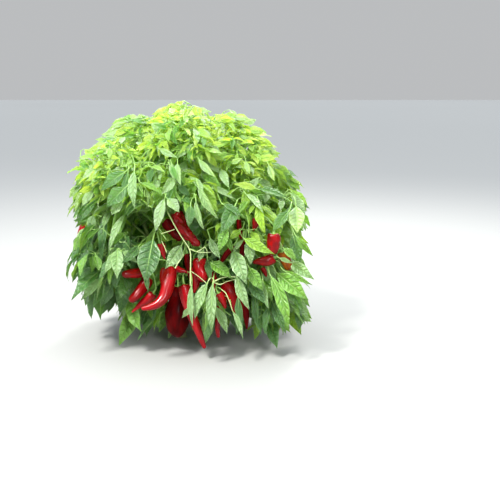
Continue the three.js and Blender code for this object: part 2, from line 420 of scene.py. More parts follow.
def skin_material(name, tile, main, deep, fleck, rough, shine=0.45, coat=0.3):
    """Pepper skin: glossy, a little deeper in clouds, with faint long streaks."""
    m, nodes, links = new_material(name)
    u, v, uv = tile_coordinates(nodes, links, tile)
    stretch = node(nodes, "ShaderNodeMapping")
    stretch.inputs["Scale"].default_value = (6.0, 1.6, 1.0)
    stretch.inputs["Location"].default_value = (tile * 2.3, tile * 5.1, 0)
    links.new(uv, stretch.inputs[0])
    cloud = node(nodes, "ShaderNodeTexNoise")
    cloud.inputs["Scale"].default_value = 1.6
    cloud.inputs["Detail"].default_value = 4.0
    links.new(stretch.outputs[0], cloud.inputs["Vector"])
    share = ramp(nodes, links, cloud.outputs[0], 0.36, 0.66)
    base = mix_colour(nodes, links, share, main, deep)
    shoulder = ramp(nodes, links, v, 0.10, 0.0, 0.0, 0.55)
    base = mix_colour(nodes, links, shoulder, base, fleck)
    fine = node(nodes, "ShaderNodeTexNoise")
    fine.inputs["Scale"].default_value = 26.0
    links.new(stretch.outputs[0], fine.inputs["Vector"])
    bump = node(nodes, "ShaderNodeBump")
    bump.inputs["Strength"].default_value = 0.12
    bump.inputs["Distance"].default_value = 0.0008
    links.new(fine.outputs[0], bump.inputs["Height"])
    p = node(nodes, "ShaderNodeBsdfPrincipled")
    links.new(base, p.inputs["Base Color"])
    links.new(bump.outputs[0], p.inputs["Normal"])
    links.new(ramp(nodes, links, cloud.outputs[0], 0.3, 0.7, rough, rough + 0.08),
              p.inputs["Roughness"])
    p.inputs["Specular IOR Level"].default_value = shine
    p.inputs["Coat Weight"].default_value = coat
    p.inputs["Coat Roughness"].default_value = 0.10
    out = node(nodes, "ShaderNodeOutputMaterial")
    links.new(p.outputs[0], out.inputs[0])
    return m


def stalk_material(name, tile, main, other, rough, streaks=9.0, depth=0.0006):
    """Green stem: long streaks round and along it."""
    m, nodes, links = new_material(name)
    u, v, uv = tile_coordinates(nodes, links, tile)
    stretch = node(nodes, "ShaderNodeMapping")
    stretch.inputs["Scale"].default_value = (streaks, 1.4, 1.0)
    links.new(uv, stretch.inputs[0])
    streak = node(nodes, "ShaderNodeTexNoise")
    streak.inputs["Scale"].default_value = 2.0
    streak.inputs["Detail"].default_value = 5.0
    streak.inputs["Roughness"].default_value = 0.6
    links.new(stretch.outputs[0], streak.inputs["Vector"])
    share = ramp(nodes, links, streak.outputs[0], 0.38, 0.64)
    base = mix_colour(nodes, links, share, main, other)
    bump = node(nodes, "ShaderNodeBump")
    bump.inputs["Strength"].default_value = 0.5
    bump.inputs["Distance"].default_value = depth
    links.new(streak.outputs[0], bump.inputs["Height"])
    p = node(nodes, "ShaderNodeBsdfPrincipled")
    links.new(base, p.inputs["Base Color"])
    links.new(bump.outputs[0], p.inputs["Normal"])
    links.new(ramp(nodes, links, streak.outputs[0], 0.3, 0.7, rough - 0.06, rough + 0.1),
              p.inputs["Roughness"])
    out = node(nodes, "ShaderNodeOutputMaterial")
    links.new(p.outputs[0], out.inputs[0])
    return m


# ------------------------------------------------------------------- limbs
STEM_FORK_HEIGHT = 165.0
STEM_LEAN = (7.0, 4.0)
STEM_BASE_R, STEM_FORK_R, FLARE_R, FLARE_H = 11.5, 9.2, 18.0, 26.0
FORK = [STEM_LEAN[0], STEM_LEAN[1], STEM_FORK_HEIGHT - 6]
MAIN_BOUGHS = {
    "bough_left": [FORK, [-38, -2, 205], [-84, 0, 290], [-118, 8, 400], [-124, 18, 478]],
    "bough_right": [FORK, [48, -6, 205], [98, -10, 285], [132, -14, 395], [143, -20, 476]],
    "bough_back": [FORK, [8, 44, 212], [14, 88, 300], [22, 110, 405], [26, 116, 488]],
    "bough_front": [FORK, [6, -30, 218], [4, -58, 310], [8, -78, 420], [12, -84, 512]],
}
SIDE_BOUGHS = {
    "side_bough_front_left": ["bough_left", 0.34, [-112, -58, 292], [-148, -96, 318]],
    "side_bough_left": ["bough_left", 0.5, [-142, 4, 352], [-176, -6, 392]],
    "side_bough_left_low": ["bough_left", 0.26, [-100, 14, 232], [-168, 20, 246]],
    "side_bough_right": ["bough_right", 0.5, [172, -2, 340], [208, -2, 372]],
    "side_bough_front_right": ["bough_right", 0.36, [130, -66, 290], [158, -104, 340]],
    "side_bough_right_low": ["bough_right", 0.22, [120, -46, 226], [194, -82, 232]],
    "side_bough_front_low": ["bough_front", 0.14, [44, -92, 214], [74, -160, 188]],
    "side_bough_back_left": ["bough_back", 0.36, [-34, 124, 288], [-86, 152, 258]],
    "side_bough_back_right": ["bough_back", 0.4, [74, 126, 322], [118, 150, 358]],
    "side_bough_right_back_low": ["bough_right", 0.3, [118, 48, 240], [156, 84, 236]],
    "side_bough_back_low": ["bough_back", 0.22, [34, 132, 236], [50, 176, 214]],
    "side_bough_front": ["bough_front", 0.5, [0, -112, 376], [-6, -150, 408]],
    "side_bough_back_left_high": ["bough_back", 0.58, [-26, 140, 378], [-60, 160, 392]],
    "side_bough_front_left_high": ["bough_left", 0.62, [-132, -36, 408], [-144, -78, 450]],
}
# which limb feeds each mass of leaves
FED_BY = {
    "leaves_low_front_left": "side_bough_front_left",
    "leaves_low_front_middle": "side_bough_front_low",
    "leaves_low_front_right": "side_bough_right_low",
    "leaves_low_left": "side_bough_left_low",
    "leaves_low_back_left": "side_bough_back_left",
    "leaves_low_back": "side_bough_back_low",
    "leaves_low_right": "side_bough_right_back_low",
    "leaves_mid_left": "side_bough_left",
    "leaves_mid_front": "side_bough_front",
    "leaves_mid_front_right": "side_bough_front_right",
    "leaves_mid_right": "side_bough_right",
    "leaves_mid_back_right": "side_bough_back_right",
    "leaves_mid_back_left": "side_bough_back_left_high",
    "leaves_upper_front_left": "side_bough_front_left_high",
    "leaves_upper_left": "bough_left",
    "leaves_upper_front": "bough_front",
    "leaves_upper_right": "bough_right",
    "leaves_upper_back": "bough_back",
    "leaves_top": "bough_front",
}
MASSES = list(FED_BY)
LOW = [n for n in MASSES if "_low_" in n]
MID = [n for n in MASSES if "_mid_" in n]
TOP = [n for n in MASSES if "_upper_" in n or n == "leaves_top"]

rng = np.random.default_rng(20771)
stems, twigs = Bag(), Bag()
stalks = {0: Bag(), 1: Bag(), 2: Bag()}
wood_points = []  # (point, radius) along every limb and twig, for joining on


def knots(n, seed):
    """Gentle swellings where a limb has forked or dropped a leaf."""
    r = np.random.default_rng(seed)
    return r.uniform(0.12, 0.95, n), r.uniform(0.10, 0.22, n)


def limb_shape(seed, ribs=5):
    r = np.random.default_rng(seed)
    ph = r.uniform(0, 6.28, 4)
    at_, high = knots(5, seed)

    def shape(a, s):
        k = 1 + 0.055 * np.cos(ribs * a + ph[0] + 1.5 * s)
        k = k + 0.018 * np.cos(9 * a + ph[3] + 4 * np.sin(7 * s)) * np.sin(31 * s + ph[1])
        k = k + 0.03 * np.cos(2 * a + ph[1] + 9 * s) + 0.025 * np.sin(23 * s + ph[2])
        for c, h in zip(at_, high):
            k = k + h * np.exp(-(((s - c) / 0.022) ** 2))
        return k

    return shape


def note(pts, radii):
    for p, r in zip(pts, np.broadcast_to(radii, (len(pts),))):
        wood_points.append((p, float(r)))


# main stem, with its flare drawn out where it meets the ground
rows = 72
z = STEM_FORK_HEIGHT * (np.linspace(0, 1, rows + 1) ** 1.35)
lean = (z / STEM_FORK_HEIGHT) ** 1.3
path = np.stack([STEM_LEAN[0] * lean, STEM_LEAN[1] * lean, z], 1) * MM
radius = (
    STEM_BASE_R + (STEM_FORK_R - STEM_BASE_R) * z / STEM_FORK_HEIGHT
    + (FLARE_R - STEM_BASE_R) * np.exp(-z / (FLARE_H * 0.45))
) * MM


def stem_shape(a, s):
    zz = STEM_FORK_HEIGHT * s**1.35
    flare = np.exp(-zz / (FLARE_H * 0.5))
    k = 1 + 0.11 * flare * np.cos(4 * a + 0.6) - 0.02
    k = k + 0.022 * np.cos(11 * a + 3 * np.sin(5 * s)) + 0.016 * np.cos(
        17 * a + 7 * s + 2 * np.sin(9 * s)
    )
    k = k + 0.03 * np.sin(2 * a + 6 * s)
    for c in (0.33, 0.58, 0.8):
        k = k + 0.10 * np.exp(-(((s - c) / 0.03) ** 2)) * (0.6 + 0.4 * np.cos(a + 9 * c))
    return k


tube(stems, path, radius, 64, mat=0, tile=0, shape=stem_shape)
note(path[::6], radius[::6])

BOUGH_STEPS = 66
limb_paths, limb_radii = {}, {}
for i, (name, joints) in enumerate(MAIN_BOUGHS.items()):
    pts = catmull(joints, BOUGH_STEPS) * MM
    s = np.linspace(0, 1, len(pts))
    r = (6.6 + (3.2 - 6.6) * s**0.8 + 3.4 * np.exp(-s / 0.035)) * MM
    # the zigzag of a limb that forks again and again
    _, n, b = frames_along(pts)
    pts = pts + (
        n * (np.sin(s * 19 + i) * 1.6)[:, None] + b * (np.sin(s * 25 + 2 * i) * 1.4)[:, None]
    ) * MM * smooth(s, 0.0, 0.12)[:, None]
    limb_paths[name], limb_radii[name] = pts, r
    tube(stems, pts, r, 22, mat=1, tile=1, shape=limb_shape(40 + i))
    note(pts[::4], r[::4])
for i, (name, (parent, share, *rest)) in enumerate(SIDE_BOUGHS.items()):
    clean = catmull(MAIN_BOUGHS[parent], 200)
    start = clean[int(round(share * 200))]
    on = limb_paths[parent][int(round(share * BOUGH_STEPS))] / MM
    pts = catmull([start, *rest], 34)
    w = np.linspace(1, 0, len(pts))[:, None] ** 3
    pts = (pts + (on - start) * w) * MM
    s = np.linspace(0, 1, len(pts))
    r = (4.4 + (2.4 - 4.4) * s**0.8 + 1.8 * np.exp(-s / 0.05)) * MM
    limb_paths[name], limb_radii[name] = pts, r
    tube(stems, pts, r, 16, mat=1, tile=1, shape=limb_shape(70 + i))
    note(pts[::4], r[::4])

# ------------------------------------------------------------------ shoots
# Every mass's outer skin is sampled, the inner cut faces are left out, and the
# shoot tips stand a little inside it.
mass_mesh = {}
for n in MASSES:
    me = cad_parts[n].data
    me.calc_loop_triangles()
    co = np.zeros(len(me.vertices) * 3)
    me.vertices.foreach_get("co", co)
    co = co.reshape(-1, 3)
    tri = np.zeros(len(me.loop_triangles) * 3, np.int32)
    me.loop_triangles.foreach_get("vertices", tri)
    tri = tri.reshape(-1, 3)
    mass_mesh[n] = (co, tri, BVHTree.FromPolygons(co.tolist(), tri.tolist()))


def inside(n, p):
    hit = mass_mesh[n][2].find_nearest(Vector(p))
    if hit[0] is None:
        return False
    return (Vector(p) - hit[0]).dot(hit[1]) < 0


def enclosed(n, p):
    """Whether p lies inside mass n, by the faces that a line from it crosses."""
    tree = mass_mesh[n][2]
    start, way, hits = Vector(p), Vector((0.0173, 0.0091, 1.0)).normalized(), 0
    while hits < 9:
        place = tree.ray_cast(start, way)[0]
        if place is None:
            break
        hits += 1
        start = place + way * 1e-5
    return hits % 2 == 1


def crown_hit(px, py):
    """The first point of the crown seen at a picture place, or None."""
    d = ray(px, py)
    best = None
    for n in MASSES:
        hit = mass_mesh[n][2].ray_cast(Vector(CAM), Vector(d))
        if hit[0] is not None and (best is None or hit[3] < best[1]):
            best = (np.array(hit[0]), hit[3])
    return None if best is None else best[0]


ZONE = {}
for n in MASSES:
    ZONE[n] = 0 if n in LOW else 1 if n in MID else 2
#          spacing, depth inside the skin, leaves on a shoot, blade length range
RULE = {
    0: dict(spacing=55, deep=(34, 60), leaves=6, blade=(74, 122)),
    1: dict(spacing=45, deep=(28, 54), leaves=6, blade=(58, 98)),
    2: dict(spacing=36, deep=(18, 40), leaves=7, blade=(38, 72)),
}
AXIS_AT = np.array([0.03, 0.01, 0.28])

# Parts of the picture in which no shoot of the outer leaves ends in front, as
# middle x and y, half width and half height.
OPEN_TO_VIEW = [(178, 312, 12, 25), (219, 303, 7, 11), (218, 325, 6, 12), (184, 226, 13, 15),
                (239, 229, 5, 11), (167, 288, 9, 20), (142, 221, 8, 8), (208, 240, 6, 12)]


def open_to_view(p):
    (mx, my), _ = pixel(p)
    return p[1] < -0.160 and any(
        abs(mx - x) < w and abs(my - y) < h for x, y, w, h in OPEN_TO_VIEW)


shoots = {n: [] for n in MASSES}
taken = []
order = []
for n in MASSES:
    co, tri, _ = mass_mesh[n]
    a, b, c = co[tri[:, 0]], co[tri[:, 1]], co[tri[:, 2]]
    cross = np.cross(b - a, c - a)
    area = np.linalg.norm(cross, axis=1) / 2
    normal = cross / np.maximum(2 * area, 1e-12)[:, None]
    count = int(area.sum() / (0.012**2))
    pick = rng.choice(len(tri), count, p=area / area.sum())
    u, v = rng.random(count), rng.random(count)
    flip = u + v > 1
    u[flip], v[flip] = 1 - u[flip], 1 - v[flip]
    pts = a[pick] + (b - a)[pick] * u[:, None] + (c - a)[pick] * v[:, None]
    for p, nn in zip(pts, normal[pick]):
        out = p - AXIS_AT
        out[2] *= 0.7
        out = unit(out)
        if nn @ out < -0.25 or nn[2] < -0.75:
            continue
        if any(m != n and inside(m, p + nn * 0.014) for m in MASSES):
            continue
        order.append((n, p, nn))
rng.shuffle(order)
for n, p, nn in order:
    rule = RULE[ZONE[n]]
    deep = rng.uniform(*rule["deep"]) * MM
    s = p - nn * deep
    if s[2] < 0.06:
        s = s + UP * (0.06 - s[2])
    if taken and np.min(np.linalg.norm(np.array(taken) - s, axis=1)) < rule["spacing"] * MM:
        continue
    if open_to_view(s):
        continue
    taken.append(s)
    shoots[n].append((s, nn, 0))
# the shaded layer behind them
for n in MASSES:
    co = mass_mesh[n][0]
    low_, high_ = co.min(0), co.max(0)
    for p in rng.uniform(low_, high_, (520, 3)):
        if p[2] < 0.10 or not inside(n, p):
            continue
        skin = mass_mesh[n][2].find_nearest(Vector(p))
        if skin[3] < 0.034 and not any(m != n and inside(m, np.array(skin[0]) + np.array(skin[1]) * 0.01) for m in MASSES):
            continue
        if np.min(np.linalg.norm(np.array(taken) - p, axis=1)) < 0.052:
            continue
        taken.append(p)
        shoots[n].append((p, unit(p - AXIS_AT), 1))
print("shoots", {n: len(v) for n, v in shoots.items()}, sum(map(len, shoots.values())))

# -------------------------------------------------------------- twig rule
TIP_R = 1.25 * MM
leaf_sites = []  # (place, twig direction, outward, zone, kind, size share)


def twig_radius(n, r):
    return min(r, TIP_R * n**0.42)


def wavy(a, b, way, r, steps):
    """A path from a to b that sets out along way and bends over to b."""
    d = np.linalg.norm(b - a)
    c1 = a + unit(way) * d * 0.38
    c2 = b - unit(b - a + way * 0.25 * d) * d * 0.30
    t = np.linspace(0, 1, steps + 1)[:, None]
    p = (1 - t) ** 3 * a + 3 * (1 - t) ** 2 * t * c1 + 3 * (1 - t) * t**2 * c2 + t**3 * b
    side = across(rng.normal(size=3), b - a)
    return p + side * (np.sin(t * math.pi * rng.uniform(1.5, 3)) * 0.018 * d)


def fork_shape(a, s):
    return 1 + 0.28 * np.exp(-((s / 0.06) ** 2)) + 0.22 * np.exp(-(((s - 1) / 0.06) ** 2))


def grow(p, way, tips, r, zone, depth=0):
    """Forks on in two until each branch has one shoot."""
    if len(tips) == 1:
        s, nn, layer = tips[0]
        d = np.linalg.norm(s - p)
        pts = wavy(p, s, way, r, max(4, int(d / 0.012)))
        end = max(TIP_R * 0.75, r * 0.55)
        rr = np.linspace(r, end, len(pts))
        tube(twigs, pts, rr, 6, mat=0, tile=0, shape=fork_shape, caps=True)
        note(pts, rr)
        tip_way = unit(pts[-1] - pts[-3])
        leaf_sites.append((pts[-1], unit(tip_way + 0.5 * UP + 0.35 * nn), nn, zone,
                           "inner" if layer else "tip", 1.0))
        # leaves on the way, one at each joint
        if d > 0.05:
            for share in np.arange(0.055, d, 0.05) / d:
                q = pts[int(round((1 - share) * (len(pts) - 1)))]
                leaf_sites.append((q, tip_way, nn, zone, "way", 1.0))
        return
    pos = np.array([t[0] for t in tips])
    c = pos.mean(0)
    f = 0.30 if len(tips) > 5 else 0.42
    q = p + (c - p) * f + rng.normal(size=3) * 0.004
    d = np.linalg.norm(q - p)
    r2 = twig_radius(len(tips), r)
    if d > 0.010:
        pts = wavy(p, q, way, r, max(3, int(d / 0.012)))
        rr = np.linspace(min(r, r2 * 1.12), r2, len(pts))
        tube(twigs, pts, rr, 7, mat=0, tile=0, shape=fork_shape, caps=True)
        note(pts, rr)
        way = unit(pts[-1] - pts[-2])
    else:
        q = p
    if depth:
        leaf_sites.append((q, way, unit(c - AXIS_AT), zone, "fork", 1.0))
    _, _, axes = np.linalg.svd(pos - c, full_matrices=False)
    key = (pos - c) @ axes[0]
    o = np.argsort(key)
    half = len(tips) // 2 + (rng.integers(0, 2) if len(tips) > 4 else 0)
    for group in (o[:half], o[half:]):
        some = [tips[k] for k in group]
        go = unit(0.55 * way + unit(pos[group].mean(0) - q))
        grow(q, go, some, twig_radius(len(some), r2), zone, depth + 1)


for n in MASSES:
    feed = limb_paths[FED_BY[n]]
    if n == "leaves_top":
        feed = feed[:-4]
    way = unit(feed[-1] - feed[-3])
    start = feed[-1]
    if shoots[n]:
        grow(start, way, shoots[n], limb_radii[FED_BY[n]][-1] * 0.95, ZONE[n])
print("sites", len(leaf_sites), "twigs", twigs.triangles())

# ------------------------------------------------------------------ leaves
OUT_T = np.array([0, .03, .08, .15, .24, .34, .43, .53, .64, .75, .85, .93, .975, 1])
OUT_W = np.array([.03, .10, .33, .62, .87, .99, 1.0, .94, .78, .55, .31, .13, .05, .014])


def leaf_points(L, W, rows, cols, bend, start_bend, sway, twist, fold, curl, wave, ph, quilt):
    """A blade along +x with its face up, as (rows+1, cols+1, 3) and its midrib."""
    ti = np.linspace(0, 1, rows + 1)[:, None]
    v = np.linspace(-1, 1, cols + 1)[None, :]
    av = np.abs(v)
    T = ti + 0.22 * av**1.1 * (1 - ti) * smooth(ti, 0, 0.14)
    half = np.interp(T, OUT_T, OUT_W) * W / 2
    half = half * (1 + 0.035 * np.sin(17 * T + ph + 2 * np.sign(v)))
    fine = np.linspace(0, 1, 81)
    phi = start_bend + bend * fine**1.25
    yaw = sway * fine
    dx = np.cos(phi) * np.cos(yaw)
    dy = np.sin(yaw) * np.ones_like(phi)
    dz = -np.sin(phi) * np.cos(yaw)
    step = L / 80

    def run(d):
        return np.concatenate([[0], np.cumsum((d[1:] + d[:-1]) / 2) * step])

    X, Y, Z = run(dx), run(dy), run(dz)
    mx, my, mz = (np.interp(T, fine, q) for q in (X, Y, Z))
    p = np.interp(T, fine, phi)
    yw = np.interp(T, fine, yaw)
    tang = np.stack([np.cos(p) * np.cos(yw), np.sin(yw), -np.sin(p) * np.cos(yw)], -1)
    side = np.stack([-np.sin(yw), np.cos(yw), np.zeros_like(yw)], -1)
    norm = np.cross(tang, side)
    tw = twist * T
    ct, st = np.cos(tw)[..., None], np.sin(tw)[..., None]
    side, norm = side * ct + norm * st, norm * ct - side * st
    lift = fold * (1 - 0.55 * T)
    y = half * av * np.cos(lift)
    h = half * av * np.sin(lift) - curl * half * av**2.2
    h = h + wave * W * av**2 * np.sin(2 * math.pi * 2.6 * T + ph + 1.7 * np.sign(v))
    between = 0.5 - 0.5 * np.cos(2 * math.pi * VEINS * ti)
    h = h + quilt * W * between * np.sin(math.pi * np.minimum(1, av * 0.93)) * (1 - 0.6 * ti)
    h = h - 0.018 * W * np.exp(-((av / 0.16) ** 2)) * (1 - 0.5 * ti)
    pts = np.stack([mx, my, mz], -1) + side * (np.sign(v) * y)[..., None] + norm * h[..., None]
    rib = np.stack([X, Y, Z], 1)
    ribn = np.stack([np.sin(phi), 0 * phi, np.cos(phi)], 1)
    return pts, rib, ribn, ti, v


class LeafSet:
    def __init__(self):
        self.bags = {0: [Bag()], 1: [Bag()], 2: [Bag()]}

    def bag(self, zone, more):
        last = self.bags[zone][-1]
        if last.triangles() + more > 198000:
            last = Bag()
            self.bags[zone].append(last)
        return last


leaves = LeafSet()
LIMIT_LO = np.array(CAD_BOX[0]) - 0.012
LIMIT_HI = np.array(CAD_BOX[1]) + 0.012
LIMIT_LO[2] = 0.004
fruit_paths = []  # (points, radii) of every pepper, which leaves keep clear of
shown_fruit = []  # picture places and depths of peppers that show in front
placed = 0
dropped = {"box": 0, "fruit": 0, "view": 0}


def clear_of_fruit(flat, slack=0.003):
    for pts, rad in fruit_paths:
        lo, hi = pts.min(0) - 0.03, pts.max(0) + 0.03
        near = flat[((flat > lo) & (flat < hi)).all(1)]
        if not len(near):
            continue
        d = np.linalg.norm(near[:, None] - pts[None], axis=2)
        if (d < rad[None] + slack).any():
            return False
    return True


def hides_fruit(flat):
    """Whether a blade stands between the camera and a pepper that shows."""
    if not shown_fruit:
        return False
    mx, my, mr, md = np.array(shown_fruit).T
    px, depth = pixel(flat)
    if depth.min() > md.max():
        return False
    near = (np.abs(px[:, :1] - mx) < mr) & (np.abs(px[:, 1:] - my) < mr)
    return bool((near & (depth[:, None] < md)).any())


def place_leaf(stem_at, petiole_way, base, axis, face, L, W, zone, tint, seed,
               bend=0.7, start_bend=0.0, sway=0.0, twist=0.0, fold=0.3, curl=0.12,
               wave=0.03, quilt=0.035, fine=2, hero=False, stalk_r=None):
    """Adds one leaf with its stalk. Returns False if it would be in the way."""
    global placed
    r = np.random.default_rng(seed)
    ph = r.uniform(0, 6.28)
    rows, cols = {2: (20, 10), 1: (14, 6), 0: (10, 4)}[int(fine)]
    axis = unit(axis)
    face = across(face, axis)
    side = np.cross(face, axis)
    pts, rib, ribn, ti, v = leaf_points(
        L, W, rows, cols, bend, start_bend, sway, twist, fold, curl, wave, ph, quilt
    )
    basis = np.stack([axis, side, face])
    world = base + pts @ basis
    rib = base + rib @ basis
    flat = world.reshape(-1, 3)
    if (flat < LIMIT_LO).any() or (flat > LIMIT_HI).any():
        over = max((LIMIT_LO - flat).max(), (flat - LIMIT_HI).max())
        if not hero or over > 0.03:
            dropped["box"] += 1
            return False
        world = np.clip(world, LIMIT_LO, LIMIT_HI)
        flat = world.reshape(-1, 3)
    if not hero:
        if (stem_at < LIMIT_LO).any() or (stem_at > LIMIT_HI).any():
            dropped["box"] += 1
            return False
        if not clear_of_fruit(flat):
            dropped["fruit"] += 1
            return False
        if hides_fruit(flat):
            dropped["view"] += 1
            return False
    low, size = tile_of(tint)
    uv = np.stack(
        [np.broadcast_to(ti, world.shape[:2]), np.broadcast_to((v + 1) / 2, world.shape[:2])],
        -1,
    )
    uv = low + (0.012 + 0.976 * uv) * size
    quads, quv = grid_faces(rows, cols, uv, flip=True)
    leaves.bag(zone, 2 * len(quads)).add(flat, quads, quv, mat=tint)
    # the stalk, which runs on under the blade as its midrib
    d = np.linalg.norm(base - stem_at)
    n = 5 if fine else 3
    t = np.linspace(0, 1, n + 1)[:, None]
    c1 = stem_at + unit(petiole_way) * d * 0.45
    c2 = base - axis * d * 0.30
    stalk = (1 - t) ** 3 * stem_at + 3 * (1 - t) ** 2 * t * c1 + 3 * (1 - t) * t**2 * c2 + t**3 * base
    pick = np.linspace(0, 66, 7 if fine else 5).astype(int)[1:]
    nrm = (ribn @ basis)[pick]
    under = rib[pick] - nrm * (0.00085 + 0.006 * W)
    r0 = stalk_r or (0.0008 + 0.0055 * L)
    path = np.vstack([stalk, under])
    rad = np.concatenate([
        r0 * (1.25 - 0.35 * np.minimum(1, np.linspace(0, 1, n + 1) * 3)),
        r0 * np.linspace(0.86, 0.26, len(under)),
    ])
    tube(stalks[zone], path, rad, 3 + int(fine), mat=0, tile=0, caps=False)
    placed += 1
    return True


# ------------------------------------------------------------------- fruit
fruit, caps = Bag(), Bag()


wood_so_far = np.zeros((0, 3))


def wood_near(target, keep_above=True):
    global wood_so_far
    if len(wood_so_far) < len(wood_points):
        more = [w[0] for w in wood_points[len(wood_so_far):]]
        wood_so_far = np.vstack([wood_so_far, np.array(more)])
    pts = wood_so_far
    d = np.linalg.norm(pts - target, axis=1)
    cost = d + (0.8 * np.maximum(0, target[2] - pts[:, 2]) if keep_above else 0)
    i = int(np.argmin(cost))
    return pts[i], wood_points[i][1], float(d[i])


def join_on(target, r_end, seed, leafy=None, sides=7):
    """A twig from the nearest wood to the target. Returns its last direction.

    One with leaves to put on grows only where it hides nothing that shows and
    where its leaves find room.
    """
    w, rw, d = wood_near(target)
    r = np.random.default_rng(seed)
    way = unit(target - w + UP * 0.35 * d)
    t = np.linspace(0, 1, max(5, int(d / 0.010)) + 1)[:, None]
    c1 = w + way * d * 0.4
    c2 = target + (w - target) * 0.3 + UP * d * 0.12
    pts = (1 - t) ** 3 * w + 3 * (1 - t) ** 2 * t * c1 + 3 * (1 - t) * t**2 * c2 + t**3 * target
    side = across(r.normal(size=3), target - w)
    pts = pts + side * (np.sin(t * math.pi * 2.2) * 0.012 * d)
    rr = np.linspace(max(min(rw * 0.8, r_end * 1.35), r_end), r_end, len(pts))
    way_on = unit(pts[-1] - pts[-2])
    if leafy is not None:
        had = placed
        if hides_fruit(pts):
            return None
        leafy(way_on)
        if placed == had:
            return None
    tube(twigs, pts, rr, sides, shape=fork_shape)
    note(pts, rr)
    return way_on


PROFILES = {  # share of the widest radius at equal steps from shoulder to tip
    "horn": (0.86, 1.0, 0.95, 0.84, 0.75, 0.69, 0.62, 0.55, 0.46, 0.35, 0.22),
    "spear": (0.88, 1.0, 0.97, 0.90, 0.81, 0.71, 0.60, 0.48, 0.36, 0.24, 0.13),
    "tube": (0.88, 1.0, 0.99, 0.97, 0.94, 0.90, 0.86, 0.80, 0.73, 0.62, 0.48),
    "block": (0.90, 1.0, 0.99, 0.96, 0.91, 0.86, 0.80, 0.73, 0.66, 0.57, 0.45),
    "heart": (0.52, 0.60, 0.67, 0.76, 0.87, 0.97, 1.0, 0.98, 0.88, 0.62, 0.24),
    "egg": (0.88, 1.0, 1.0, 0.98, 0.94, 0.87, 0.78, 0.66, 0.53, 0.38, 0.24),
    "slim": (1.0, 1.0, 0.92, 0.83, 0.76, 0.72, 0.69, 0.63, 0.54, 0.42, 0.26),
}


def profile(form, s):
    known = np.array(PROFILES[form])
    x = np.linspace(0, 1, len(known))
    fine = np.linspace(0, 1, 201)
    y = np.interp(fine, x, known)
    for _ in range(3):
        y = np.convolve(np.pad(y, 7, "edge"), np.ones(15) / 15, "valid")
    return np.interp(s, fine, y)


